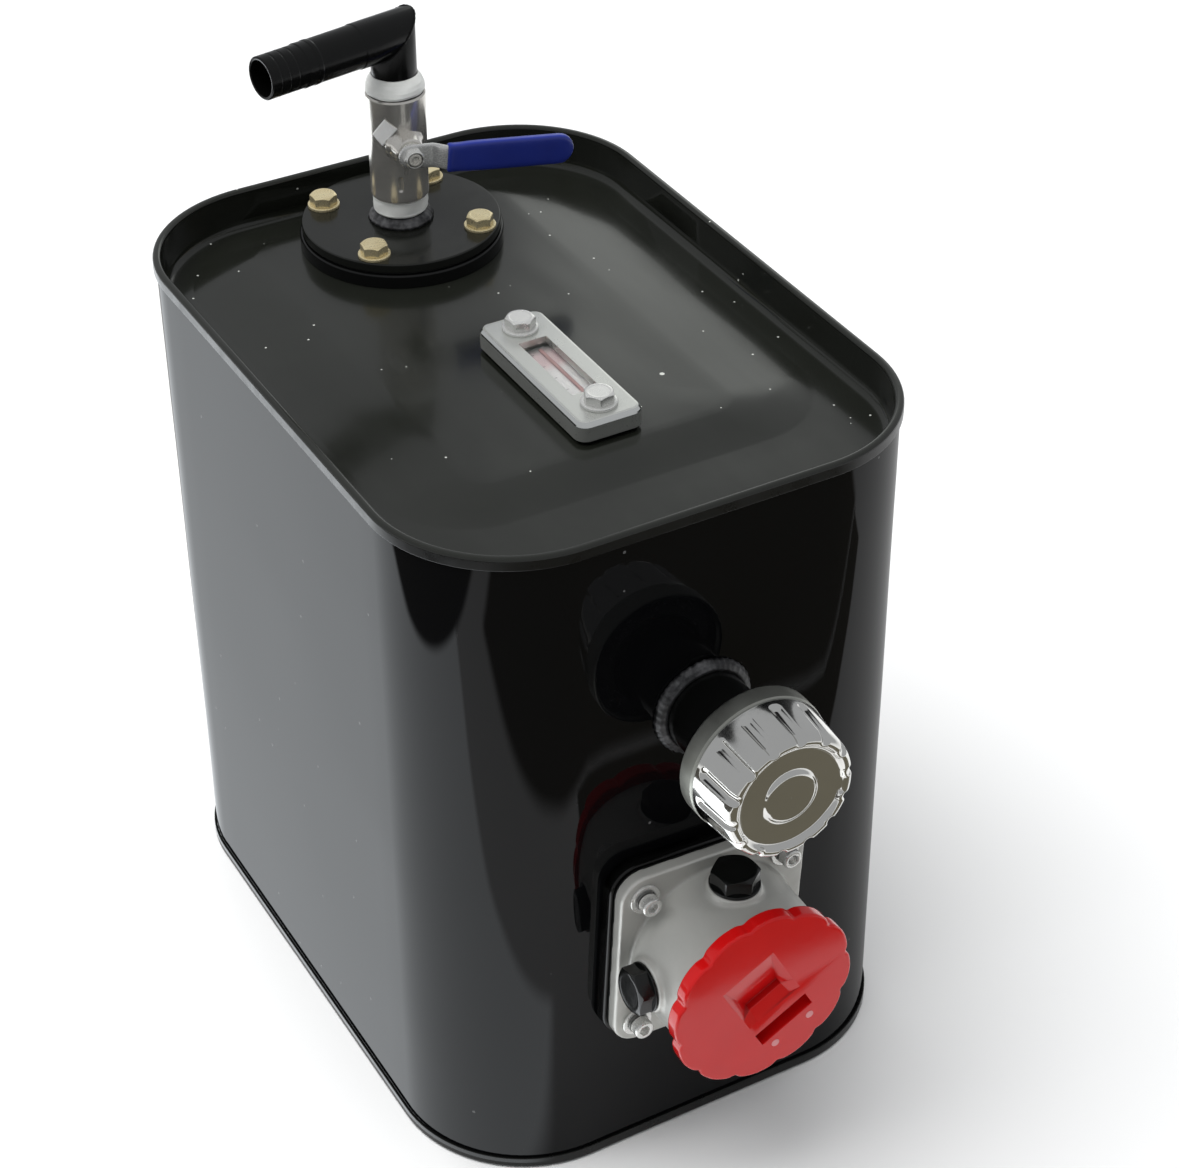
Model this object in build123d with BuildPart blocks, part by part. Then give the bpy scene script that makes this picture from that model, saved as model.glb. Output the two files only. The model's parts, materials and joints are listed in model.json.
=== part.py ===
"""Hydraulic reservoir: a rolled sheet-steel tank standing on its end, with a
suction valve and level gauge on one end panel and a filler breather and a
tank-top return filter on the ported side.

Millimetres, +Z up. Origin: centre of the whole object's footprint, on the floor.
"""

import os
from math import cos, radians, sin

from build123d import *

os.makedirs("parts", exist_ok=True)

# ---------------------------------------------------------------- dimensions
# tank
W = 277.0  # width over the seam rims, X
D = 386.0  # depth over the seam rims, Y
H = 390.0  # height over the seam rims, Z
R_RIM = 72.5  # plan corner radius of the rims
INSET = 1.5  # shell wall sits this far inside the rims
T = 1.5  # sheet thickness
SEAM_H = 7.0  # height of a rolled seam
PAN_DEPTH = 23.0  # end panel recess below the rim
PLATEAU = 3.5  # embossed height of the end panel's middle
PAN_FILLET = 8.0

# suction cover and valve stack on the top end panel
SX, SY = 2.2, 130.6
COVER_R, COVER_T = 53.2, 5.0
COVER_TOP = 384.0
BOLT_PCD = 88.0
NIPPLE_R, NIPPLE_BORE = 12.0, 9.5
STEM_Z = 432.5  # height of the lever axis
STEM_AZ = -99.2  # plan heading of the valve stem
LEVER_DROOP = 5.5  # the closed lever hangs a little below level
BALL_R, BALL_BORE = 12.4, 8.0
TAIL_Z = 489.0  # height of the hose tail's axis
TAIL_AZ = 189.5  # plan heading of the hose tail
TAIL_L = 80.5

# level gauge
GX, GY = 2.5, -43.0
GAUGE_PITCH = 80.0
GAUGE_W, GAUGE_L = 36.5, 108.0

# filler breather on the ported side
BX, BZ = -3.5, 275.2
NECK_R, NECK_BORE = 21.5, 19.0
NECK_END = 232.7
CAP_R = 36.8
CAP_FACE = 271.5  # furthest point forward of the tank's middle

# return filter on the ported side
FX, FZ = -5.3, 138.9
F_TURN = 3.0  # the filter is welded on slightly turned
FLANGE = 106.0
SCREW_PITCH = 80.5
FLANGE_FACE = 206.7
HEAD_END = 249.8
RED_FACE = 258.3
RED_R = 51.0

# ------------------------------------------------------------------- planes
Y0 = (CAP_FACE - D / 2) / 2  # moves the tank so that the origin is central
WALL = D / 2 - INSET  # outer face of the ported wall, forward of the tank's middle


def level(z, x=0.0, y=0.0):
    """Horizontal plane at height z, centred x, y from the tank's middle."""
    return Plane(origin=(x, y + Y0, z), x_dir=(1, 0, 0), z_dir=(0, 0, 1))


def breather(forward):
    """Plane facing out of the ported wall on the breather's axis."""
    return Plane(origin=(BX, Y0 - forward, BZ), x_dir=(1, 0, 0), z_dir=(0, -1, 0))


def filt(forward):
    """Plane facing out of the ported wall on the return filter's axis."""
    a = radians(F_TURN)
    return Plane(
        origin=(FX, Y0 - forward, FZ), x_dir=(cos(a), 0, -sin(a)), z_dir=(0, -1, 0)
    )


# half-sections are drawn as (radius, distance along the axis)
STACK = Plane(origin=(SX, SY + Y0, 0), x_dir=(1, 0, 0), z_dir=(0, -1, 0))
STACK_AXIS = Axis((SX, SY + Y0, 0), (0, 0, 1))
BR = Plane(origin=(BX, Y0, BZ), x_dir=(1, 0, 0), z_dir=(0, 0, 1)).rotated((180, 0, 0))
BR_AXIS = Axis((BX, Y0, BZ), (0, -1, 0))
FR = Plane(origin=(FX, Y0, FZ), x_dir=(1, 0, 0), z_dir=(0, 0, 1)).rotated((180, 0, 0))
FR_AXIS = Axis((FX, Y0, FZ), (0, -1, 0))

# valve stem frame: S points out of the stem, L along the closed lever
_s = radians(STEM_AZ)
_d = radians(LEVER_DROOP)
S_DIR = Vector(cos(_s), sin(_s), 0)
H_DIR = Vector(-sin(_s), cos(_s), 0)
L_DIR = H_DIR * cos(_d) - Vector(0, 0, 1) * sin(_d)
BALL = Vector(SX, SY + Y0, STEM_Z)


def stem(out):
    """Plane across the stem axis, its x along the closed lever."""
    o = BALL + S_DIR * out
    return Plane(origin=o, x_dir=L_DIR, z_dir=S_DIR)


STEM_AXIS = Axis(BALL, S_DIR)
STEM_SECTION = Plane(origin=BALL, x_dir=(0, 0, 1), z_dir=Vector(0, 0, 1).cross(S_DIR))

# hose tail frame
_t = radians(TAIL_AZ)
T_DIR = Vector(cos(_t), sin(_t), 0)
MITRE = Vector(SX, SY + Y0, TAIL_Z)
TAIL = Plane(origin=MITRE, x_dir=(0, 0, 1), z_dir=Vector(0, 0, 1).cross(T_DIR))
TAIL_AXIS = Axis(MITRE, T_DIR)

# ------------------------------------------------------------------ the tank
# rolled wrapper sheet, its ends held inside the two seams
with BuildPart() as tank_shell:
    with BuildSketch(level(2.0)):
        RectangleRounded(W - 2 * INSET, D - 2 * INSET, R_RIM - INSET)
        RectangleRounded(
            W - 2 * INSET - 2 * T,
            D - 2 * INSET - 2 * T,
            R_RIM - INSET - T,
            mode=Mode.SUBTRACT,
        )
    extrude(amount=H - 4.0)
    with BuildSketch(breather(150)):
        Circle(NECK_R + 0.05)
    extrude(amount=60, mode=Mode.SUBTRACT)
    with BuildSketch(filt(150)):
        Circle(42.0)
    extrude(amount=60, mode=Mode.SUBTRACT)
tank_shell.part.label = "tank_shell"
export_step(tank_shell.part, "parts/tank_shell.step")

# the wrapper's closing seam, up the right-hand wall
with BuildPart() as shell_seam_weld:
    with BuildSketch(level(8.5, W / 2 - INSET, 60.0)):
        with BuildLine():
            Line((0, -3.2), (0, 3.2))
            ThreePointArc((0, 3.2), (1.2, 0), (0, -3.2))
        make_face()
    extrude(amount=H - 17.0)
shell_seam_weld.part.label = "shell_seam_weld"
export_step(shell_seam_weld.part, "parts/shell_seam_weld.step")

# pressed end panels: a recessed pan with a raised middle, and an edge that is
# rolled over the wrapper
for end_name, up in (("top_panel", 1), ("bottom_panel", -1)):

    def end(z, x=0.0, y=0.0, up=up):
        """Plane at height z of the top panel, or its opposite at the bottom."""
        return Plane(
            origin=(up * x, y + Y0, H / 2 + up * (z - H / 2)),
            x_dir=(up, 0, 0),
            z_dir=(0, 0, up),
        )

    with BuildPart() as end_panel:
        PAN = H - PAN_DEPTH
        with BuildSketch(end(PAN - T)):
            RectangleRounded(
                W - 2 * INSET - 2 * T, D - 2 * INSET - 2 * T, R_RIM - INSET - T
            )
        extrude(amount=PAN_DEPTH + T)
        with BuildSketch(end(PAN)):
            RectangleRounded(
                W - 2 * INSET - 4 * T, D - 2 * INSET - 4 * T, R_RIM - INSET - 2 * T
            )
        extrude(amount=PAN_DEPTH + 5, mode=Mode.SUBTRACT)
        pan_plane = end(PAN)
        pan_edges = [
            e
            for e in end_panel.edges()
            if abs(e.center().Z - pan_plane.origin.Z) < 0.01
        ]
        fillet(pan_edges, radius=PAN_FILLET)
        under = [
            e
            for e in end_panel.edges()
            if abs(e.center().Z - end(PAN - T).origin.Z) < 0.01
        ]
        fillet(under, radius=PAN_FILLET)
        # raised middle with a long gentle slope round it
        with BuildSketch(end(PAN - 0.2, 0, 20.5)):
            RectangleRounded(238, 305, 48)
        with BuildSketch(end(PAN + PLATEAU, -1.5, 29.5)):
            RectangleRounded(147, 261, 13)
        loft()
        if up == 1:
            with BuildSketch(end(PAN - 0.2, SX, SY)):
                Circle(COVER_R + 6.0)
            with BuildSketch(end(PAN + PLATEAU, SX, SY)):
                Circle(COVER_R + 3.5)
            loft()
        # the pressing's hollow on the inner side
        with BuildSketch(end(PAN - T - 0.2, 0, 20.5)):
            RectangleRounded(232, 299, 45)
        with BuildSketch(end(PAN + PLATEAU - T, -1.5, 29.5)):
            RectangleRounded(145, 259, 12)
        loft(mode=Mode.SUBTRACT)
        # rolled seam
        with BuildSketch(end(H - SEAM_H)):
            RectangleRounded(W, D, R_RIM)
            RectangleRounded(
                W - 2 * INSET - 4 * T,
                D - 2 * INSET - 4 * T,
                R_RIM - INSET - 2 * T,
                mode=Mode.SUBTRACT,
            )
        extrude(amount=SEAM_H)
        crest = [e for e in end_panel.edges() if abs(e.center().Z - end(H).origin.Z) < 0.01]
        fillet(crest, radius=1.9)
        with BuildSketch(end(H - SEAM_H)):
            RectangleRounded(W - 2 * INSET, D - 2 * INSET, R_RIM - INSET)
            RectangleRounded(
                W - 2 * INSET - 2 * T,
                D - 2 * INSET - 2 * T,
                R_RIM - INSET - T,
                mode=Mode.SUBTRACT,
            )
        extrude(amount=SEAM_H - 2.0, mode=Mode.SUBTRACT)
        if up == 1:
            with BuildSketch(level(PAN - 10, SX, SY)):
                Circle(38.0)
            extrude(amount=30, mode=Mode.SUBTRACT)
            with BuildSketch(level(PAN - 10, GX, GY)):
                with GridLocations(0, GAUGE_PITCH, 1, 2):
                    Circle(5.3)
            extrude(amount=30, mode=Mode.SUBTRACT)
    end_panel.part.label = end_name
    export_step(end_panel.part, f"parts/{end_name}.step")

# ------------------------------------------- suction cover on the end panel
SEAT = H - PAN_DEPTH + PLATEAU  # height of the plateau, 370.5
with BuildPart() as suction_spigot_ring:
    with BuildSketch(level(SEAT, SX, SY)):
        Circle(COVER_R + 1.3)
        Circle(38.0, mode=Mode.SUBTRACT)
    extrude(amount=COVER_TOP - COVER_T - 1.0 - SEAT)
    with BuildSketch(level(SEAT + 0.5, SX, SY)):
        with PolarLocations(BOLT_PCD / 2, 4, start_angle=45):
            Circle(4.05)
    extrude(amount=20, mode=Mode.SUBTRACT)
    top_edges = suction_spigot_ring.faces().sort_by(Axis.Z)[-1].edges().sort_by(SortBy.LENGTH)[-1:]
    chamfer(top_edges, length=1.2)
suction_spigot_ring.part.label = "suction_spigot_ring"
export_step(suction_spigot_ring.part, "parts/suction_spigot_ring.step")

with BuildPart() as suction_gasket:
    with BuildSketch(level(COVER_TOP - COVER_T - 1.0, SX, SY)):
        Circle(COVER_R - 1.0)
        Circle(36.0, mode=Mode.SUBTRACT)
        with PolarLocations(BOLT_PCD / 2, 4, start_angle=45):
            Circle(4.3, mode=Mode.SUBTRACT)
    extrude(amount=1.0)
suction_gasket.part.label = "suction_gasket"
export_step(suction_gasket.part, "parts/suction_gasket.step")

with BuildPart() as suction_cover:
    with BuildSketch(level(COVER_TOP - COVER_T, SX, SY)):
        Circle(COVER_R)
    extrude(amount=COVER_T)
    chamfer(suction_cover.edges().filter_by(GeomType.CIRCLE), length=0.6)
    with BuildSketch(level(COVER_TOP - COVER_T - 1, SX, SY)):
        Circle(NIPPLE_R)
        with PolarLocations(BOLT_PCD / 2, 4, start_angle=45):
            Circle(4.5)
    extrude(amount=COVER_T + 2, mode=Mode.SUBTRACT)
suction_cover.part.label = "suction_cover"
export_step(suction_cover.part, "parts/suction_cover.step")

with BuildPart() as suction_cover_washers:
    with BuildSketch(level(COVER_TOP, SX, SY)):
        with PolarLocations(BOLT_PCD / 2, 4, start_angle=45):
            Circle(8.6)
            Circle(4.2, mode=Mode.SUBTRACT)
    extrude(amount=1.6)
suction_cover_washers.part.label = "suction_cover_washers"
export_step(suction_cover_washers.part, "parts/suction_cover_washers.step")

with BuildPart() as suction_cover_bolts:
    with BuildSketch(level(COVER_TOP + 1.6, SX, SY)):
        with PolarLocations(BOLT_PCD / 2, 4, start_angle=45):
            RegularPolygon(13.0 / 2, 6, major_radius=False, rotation=22)
    extrude(amount=5.3)
    crowns = suction_cover_bolts.faces().filter_by(Axis.Z).group_by(Axis.Z)[-1].edges()
    chamfer(crowns, length=0.7)
    with BuildSketch(level(COVER_TOP + 1.6, SX, SY)):
        with PolarLocations(BOLT_PCD / 2, 4, start_angle=45):
            Circle(4.0)
    extrude(amount=-(COVER_TOP + 1.6 - SEAT - 0.8))
suction_cover_bolts.part.label = "suction_cover_bolts"
export_step(suction_cover_bolts.part, "parts/suction_cover_bolts.step")

# threaded nipple through the cover, and the weld round it
with BuildPart() as suction_nipple:
    with BuildSketch(level(345, SX, SY)):
        Circle(NIPPLE_R)
        Circle(NIPPLE_BORE, mode=Mode.SUBTRACT)
    extrude(amount=411 - 345)
suction_nipple.part.label = "suction_nipple"
export_step(suction_nipple.part, "parts/suction_nipple.step")

with BuildPart() as nipple_weld:
    with BuildSketch(STACK):
        with BuildLine():
            Line((NIPPLE_R, COVER_TOP), (18.0, COVER_TOP))
            ThreePointArc((18.0, COVER_TOP), (16.6, COVER_TOP + 3.3), (14.2, 389.0))
            Line((14.2, 389.0), (NIPPLE_R, 389.0))
            Line((NIPPLE_R, 389.0), (NIPPLE_R, COVER_TOP))
        make_face()
    revolve(axis=STACK_AXIS)
nipple_weld.part.label = "nipple_weld"
export_step(nipple_weld.part, "parts/nipple_weld.step")

# suction strainer inside the tank, screwed on the nipple
with BuildPart() as strainer_ends:
    with BuildSketch(level(340, SX, SY)):
        Circle(30.0)
    extrude(amount=8)
    with BuildSketch(level(348, SX, SY)):
        RegularPolygon(18.0, 6, major_radius=False)
    extrude(amount=9)
    with BuildSketch(level(339, SX, SY)):
        Circle(NIPPLE_R)
    extrude(amount=20, mode=Mode.SUBTRACT)
    with BuildSketch(level(250, SX, SY)):
        Circle(30.0)
    extrude(amount=6)
strainer_ends.part.label = "strainer_ends"
export_step(strainer_ends.part, "parts/strainer_ends.step")

with BuildPart() as strainer_screen:
    with BuildSketch(level(256, SX, SY)):
        Circle(28.5)
        Circle(26.5, mode=Mode.SUBTRACT)
    extrude(amount=84)
strainer_screen.part.label = "strainer_screen"
export_step(strainer_screen.part, "parts/strainer_screen.step")

# --------------------------------------------------------------- ball valve
with BuildPart() as lower_thread_seal:
    with BuildSketch(STACK):
        with BuildLine():
            Polyline(
                (NIPPLE_R, 389.5),
                (14.2, 389.5),
                (14.6, 390.3),
                (14.6, 397.4),
                (14.9, 398.6),
                (NIPPLE_R, 398.6),
                close=True,
            )
        make_face()
    revolve(axis=STACK_AXIS)
lower_thread_seal.part.label = "lower_thread_seal"
export_step(lower_thread_seal.part, "parts/lower_thread_seal.step")

with BuildPart() as valve_body:
    with BuildSketch(STACK):
        with BuildLine():
            Polyline(
                (NIPPLE_R, 398.6),
                (14.9, 398.6),
                (15.4, 399.2),
                (15.55, 430.0),
                (15.85, 456.0),
                (15.85, 457.4),
                (15.2, 458.0),
                (13.2, 458.0),
                (13.2, 418.0),
                (9.6, 418.0),
                (9.6, 411.0),
                (NIPPLE_R, 411.0),
                close=True,
            )
        make_face()
    revolve(axis=STACK_AXIS)
    # boss for the stem
    with BuildSketch(stem(13.4)):
        Circle(8.6)
    with BuildSketch(stem(23.5)):
        Circle(7.0)
    loft()
    with BuildSketch(stem(10.0)):
        Circle(4.05)
    extrude(amount=20, mode=Mode.SUBTRACT)
    with BuildSketch(stem(18.5)):
        Circle(5.6)
    extrude(amount=20, mode=Mode.SUBTRACT)
valve_body.part.label = "valve_body"
export_step(valve_body.part, "parts/valve_body.step")

with BuildPart() as valve_insert:
    with BuildSketch(level(446.5, SX, SY)):
        Circle(13.2)
        Circle(9.0, mode=Mode.SUBTRACT)
    extrude(amount=11.5)
    with BuildSketch(level(450.5, SX, SY)):
        Circle(12.0)
    extrude(amount=10, mode=Mode.SUBTRACT)
valve_insert.part.label = "valve_insert"
export_step(valve_insert.part, "parts/valve_insert.step")

with BuildPart() as valve_ball:
    with BuildSketch(Plane(origin=BALL, x_dir=S_DIR, z_dir=S_DIR.cross(L_DIR))):
        with BuildLine():
            half = (BALL_R**2 - BALL_BORE**2) ** 0.5
            Line((BALL_BORE, -half), (BALL_BORE, half))
            ThreePointArc((BALL_BORE, half), (BALL_R, 0), (BALL_BORE, -half))
        make_face()
    revolve(axis=Axis(BALL, L_DIR))
    # slot that the stem's tang turns
    with BuildSketch(stem(10.0)):
        Rectangle(30.0, 3.4)
    extrude(amount=6, mode=Mode.SUBTRACT)
valve_ball.part.label = "valve_ball"
export_step(valve_ball.part, "parts/valve_ball.step")

with BuildPart() as ball_seats:
    with BuildSketch(level(418.1, SX, SY)):
        Circle(13.1)
        Circle(8.6, mode=Mode.SUBTRACT)
    extrude(amount=6.4)
    with BuildSketch(level(440.5, SX, SY)):
        Circle(13.1)
        Circle(8.6, mode=Mode.SUBTRACT)
    extrude(amount=5.9)
    with Locations(Location(BALL)):
        Sphere(BALL_R + 0.05, mode=Mode.SUBTRACT)
ball_seats.part.label = "ball_seats"
export_step(ball_seats.part, "parts/ball_seats.step")

with BuildPart() as valve_stem:
    with BuildSketch(stem(10.15)):
        Rectangle(7.2, 3.2)
    extrude(amount=3.85)
    with BuildSketch(stem(13.6)):
        Circle(4.0)
    extrude(amount=32.6 - 13.6)
    chamfer(valve_stem.faces().sort_by(STEM_AXIS)[-1].edges(), length=0.6)
valve_stem.part.label = "valve_stem"
export_step(valve_stem.part, "parts/valve_stem.step")

with BuildPart() as stem_packing:
    with BuildSketch(stem(18.5)):
        Circle(5.55)
        Circle(4.05, mode=Mode.SUBTRACT)
    extrude(amount=5.6)
stem_packing.part.label = "stem_packing"
export_step(stem_packing.part, "parts/stem_packing.step")

with BuildPart() as gland_nut:
    with BuildSketch(stem(24.3)):
        RegularPolygon(5.6, 6, major_radius=False)
        Circle(4.05, mode=Mode.SUBTRACT)
    extrude(amount=1.7)
gland_nut.part.label = "gland_nut"
export_step(gland_nut.part, "parts/gland_nut.step")

# lever: flat strip, cranked outwards, wide face across the stem axis
LEV_W, LEV_T = 13.5, 2.2
with BuildPart() as lever:
    with BuildSketch(
        Plane(origin=BALL, x_dir=L_DIR, z_dir=L_DIR.cross(S_DIR))
    ):
        with BuildLine():
            Polyline(
                (-7.5, 26.4),
                (10.5, 26.4),
                (19.0, 31.0),
                (84.0, 31.0),
                (84.0, 31.0 + LEV_T),
                (18.4, 31.0 + LEV_T),
                (9.9, 26.4 + LEV_T),
                (-7.5, 26.4 + LEV_T),
                close=True,
            )
        make_face()
    extrude(amount=LEV_W / 2, both=True)
    with BuildSketch(stem(20.0)):
        Circle(4.0)
    extrude(amount=20, mode=Mode.SUBTRACT)
    ends = [
        e
        for e in lever.edges()
        if abs(e.length - LEV_T) < 0.05 and abs(abs((e.center() - BALL).dot(L_DIR.cross(S_DIR))) - LEV_W / 2) < 0.05
        and ((e.center() - BALL).dot(L_DIR) > 80 or (e.center() - BALL).dot(L_DIR) < 0)
    ]
    fillet(ends, radius=6.0)
lever.part.label = "lever"
export_step(lever.part, "parts/lever.step")

# dipped vinyl grip over the strip's outer end
with BuildPart() as lever_grip:
    with BuildSketch(stem(29.7)):
        with Locations((52.0, 0)):
            RectangleRounded(69.0, 16.6, 7.9)
        with Locations((27.0, 0)):
            Rectangle(19.0, 16.6)
    extrude(amount=4.8)
    soft = lever_grip.edges().filter_by(
        lambda e: abs((e.center() - BALL).dot(S_DIR) - 29.7) < 0.02
        or abs((e.center() - BALL).dot(S_DIR) - 34.5) < 0.02
    )
    fillet(soft, radius=1.3)
    add(lever.part, mode=Mode.SUBTRACT)
lever_grip.part.label = "lever_grip"
export_step(lever_grip.part, "parts/lever_grip.step")

with BuildPart() as lever_nut:
    with BuildSketch(stem(26.4 + LEV_T)):
        RegularPolygon(5.0, 6, major_radius=False, rotation=10)
    extrude(amount=4.0)
    with BuildSketch(stem(20.0)):
        Circle(4.0)
    extrude(amount=20, mode=Mode.SUBTRACT)
lever_nut.part.label = "lever_nut"
export_step(lever_nut.part, "parts/lever_nut.step")

with BuildPart() as upper_thread_seal:
    with BuildSketch(STACK):
        with BuildLine():
            Polyline(
                (12.0, 458.3),
                (15.3, 458.3),
                (15.7, 460.0),
                (15.2, 463.0),
                (13.2, 467.4),
                (12.4, 468.2),
                (12.0, 468.2),
                close=True,
            )
        make_face()
    revolve(axis=STACK_AXIS)
upper_thread_seal.part.label = "upper_thread_seal"
export_step(upper_thread_seal.part, "parts/upper_thread_seal.step")

# mitred hose tail: a short riser cut at 45 degrees and a horizontal spigot
with BuildPart() as hose_tail:
    with BuildSketch(level(450.8, SX, SY)):
        Circle(12.0)
    extrude(amount=40 + TAIL_Z - 450.8)
    split(
        bisect_by=Plane(origin=MITRE, z_dir=T_DIR + Vector(0, 0, 1)),
        keep=Keep.BOTTOM,
    )
    with BuildPart(mode=Mode.PRIVATE) as leg:
        with BuildSketch(TAIL):
            with BuildLine():
                Polyline(
                    (0, -20),
                    (12.0, -20),
                    (12.0, 23.5),
                    (11.75, 23.8),
                    (11.75, 50.0),
                    (11.82, 50.3),
                    (11.82, 52.5),
                    (11.75, 52.8),
                    (11.75, 58.2),
                    (11.35, 58.8),
                    (11.35, 63.2),
                    (11.0, 63.7),
                    (11.35, 64.2),
                    (11.35, 68.6),
                    (11.0, 69.1),
                    (11.35, 69.6),
                    (11.35, 73.8),
                    (11.0, 74.3),
                    (11.35, 74.8),
                    (11.35, TAIL_L - 0.5),
                    (10.9, TAIL_L),
                    (0, TAIL_L),
                    close=True,
                )
            make_face()
        revolve(axis=TAIL_AXIS)
        split(
            bisect_by=Plane(origin=MITRE, z_dir=T_DIR + Vector(0, 0, 1)),
            keep=Keep.TOP,
        )
    add(leg.part)
    # bores
    with BuildSketch(level(440, SX, SY)):
        Circle(NIPPLE_BORE)
    extrude(amount=TAIL_Z - 440, mode=Mode.SUBTRACT)
    with BuildSketch(Plane(origin=MITRE, x_dir=(0, 0, 1), z_dir=T_DIR)):
        Circle(NIPPLE_BORE)
    extrude(amount=TAIL_L + 5, mode=Mode.SUBTRACT)
    with Locations(Location(MITRE)):
        Sphere(NIPPLE_BORE, mode=Mode.SUBTRACT)
hose_tail.part.label = "hose_tail"
export_step(hose_tail.part, "parts/hose_tail.step")

# -------------------------------------------------------------- level gauge
with BuildPart() as gauge_gasket:
    with BuildSketch(level(SEAT, GX, GY)):
        RectangleRounded(GAUGE_W - 4.5, GAUGE_L - 4.5, 4.0)
        with GridLocations(0, GAUGE_PITCH, 1, 2):
            Circle(5.3, mode=Mode.SUBTRACT)
    extrude(amount=2.0)
gauge_gasket.part.label = "gauge_gasket"
export_step(gauge_gasket.part, "parts/gauge_gasket.step")

GAUGE_TOP = 383.2
with BuildPart() as gauge_housing:
    with BuildSketch(level(SEAT + 2.0, GX, GY)):
        RectangleRounded(GAUGE_W, GAUGE_L, 6.5)
    extrude(amount=GAUGE_TOP - SEAT - 2.0)
    chamfer(gauge_housing.faces().sort_by(Axis.Z)[-1].edges(), length=1.6)
    # window, and a wider pocket behind it for the lens
    with BuildSketch(level(SEAT, GX, GY)):
        Rectangle(15.5, 55.0)
    extrude(amount=20, mode=Mode.SUBTRACT)
    with BuildSketch(level(SEAT, GX, GY)):
        Rectangle(20.0, 59.0)
    extrude(amount=GAUGE_TOP - SEAT - 4.0, mode=Mode.SUBTRACT)
    with BuildSketch(level(SEAT, GX, GY)):
        with GridLocations(0, GAUGE_PITCH, 1, 2):
            Circle(5.3)
    extrude(amount=20, mode=Mode.SUBTRACT)
gauge_housing.part.label = "gauge_housing"
export_step(gauge_housing.part, "parts/gauge_housing.step")

with BuildPart() as gauge_scale:
    with BuildSketch(level(SEAT + 2.0, GX, GY)):
        Rectangle(19.6, 58.6)
    extrude(amount=2.2)
gauge_scale.part.label = "gauge_scale"
export_step(gauge_scale.part, "parts/gauge_scale.step")

with BuildPart() as gauge_lens:
    with BuildSketch(level(SEAT + 4.3, GX, GY)):
        Rectangle(19.6, 58.6)
    extrude(amount=4.3)
    with BuildSketch(Plane(origin=(GX + 3.0, GY + Y0 - 26, SEAT + 5.6), x_dir=(1, 0, 0), z_dir=(0, 1, 0))):
        Circle(1.15)
    extrude(amount=52, mode=Mode.SUBTRACT)
gauge_lens.part.label = "gauge_lens"
export_step(gauge_lens.part, "parts/gauge_lens.step")

with BuildPart() as gauge_thermometer:
    with BuildSketch(Plane(origin=(GX + 3.0, GY + Y0 - 25, SEAT + 5.6), x_dir=(1, 0, 0), z_dir=(0, 1, 0))):
        Circle(1.1)
    extrude(amount=50)
gauge_thermometer.part.label = "gauge_thermometer"
export_step(gauge_thermometer.part, "parts/gauge_thermometer.step")

with BuildPart() as gauge_washers:
    with BuildSketch(level(GAUGE_TOP, GX, GY)):
        with GridLocations(0, GAUGE_PITCH, 1, 2):
            Circle(9.3)
            Circle(5.1, mode=Mode.SUBTRACT)
    extrude(amount=1.6)
    chamfer(gauge_washers.faces().filter_by(Axis.Z).group_by(Axis.Z)[-1].edges().filter_by(lambda e: e.radius > 9), length=0.4)
gauge_washers.part.label = "gauge_washers"
export_step(gauge_washers.part, "parts/gauge_washers.step")

with BuildPart() as gauge_bolts:
    with BuildSketch(level(GAUGE_TOP + 1.6, GX, GY)):
        with GridLocations(0, GAUGE_PITCH, 1, 2):
            RegularPolygon(7.0, 6, major_radius=False, rotation=12)
    extrude(amount=5.4)
    chamfer(gauge_bolts.faces().filter_by(Axis.Z).group_by(Axis.Z)[-1].edges(), length=0.8)
    with BuildSketch(level(GAUGE_TOP + 1.6, GX, GY)):
        with GridLocations(0, GAUGE_PITCH, 1, 2):
            Circle(5.0)
    extrude(amount=-27.0)
gauge_bolts.part.label = "gauge_bolts"
export_step(gauge_bolts.part, "parts/gauge_bolts.step")

with BuildPart() as gauge_nuts:
    with BuildSketch(level(SEAT - T - 0.05, GX, GY)):
        with GridLocations(0, GAUGE_PITCH, 1, 2):
            RegularPolygon(8.0, 6, major_radius=False)
            Circle(5.05, mode=Mode.SUBTRACT)
    extrude(amount=-8.0)
gauge_nuts.part.label = "gauge_nuts"
export_step(gauge_nuts.part, "parts/gauge_nuts.step")

# --------------------------------------------------------- filler breather
with BuildPart() as filler_neck:
    with BuildSketch(breather(WALL - 4.5)):
        Circle(NECK_R)
        Circle(NECK_BORE, mode=Mode.SUBTRACT)
    extrude(amount=NECK_END - WALL + 4.5)
filler_neck.part.label = "filler_neck"
export_step(filler_neck.part, "parts/filler_neck.step")

with BuildPart() as neck_weld:
    with BuildSketch(BR):
        with BuildLine():
            Line((NECK_R, WALL), (26.7, WALL))
            ThreePointArc((26.7, WALL), (25.6, WALL + 3.4), (NECK_R, WALL + 4.6))
            Line((NECK_R, WALL + 4.6), (NECK_R, WALL))
        make_face()
    revolve(axis=BR_AXIS)
neck_weld.part.label = "neck_weld"
export_step(neck_weld.part, "parts/neck_weld.step")

# strainer basket hanging in the neck
with BuildPart() as filler_basket:
    with BuildSketch(breather(NECK_END - 78)):
        Circle(17.6)
    extrude(amount=78 - 1.0)
    with BuildSketch(breather(NECK_END - 3.5)):
        Circle(NECK_BORE - 0.05)
    extrude(amount=2.5)
    with BuildSketch(breather(NECK_END - 76.5)):
        Circle(16.4)
    extrude(amount=80, mode=Mode.SUBTRACT)
filler_basket.part.label = "filler_basket"
export_step(filler_basket.part, "parts/filler_basket.step")

with BuildPart() as breather_gasket:
    with BuildSketch(breather(NECK_END + 0.3)):
        Circle(24.5)
        Circle(17.5, mode=Mode.SUBTRACT)
    extrude(amount=1.7)
breather_gasket.part.label = "breather_gasket"
export_step(breather_gasket.part, "parts/breather_gasket.step")

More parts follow.
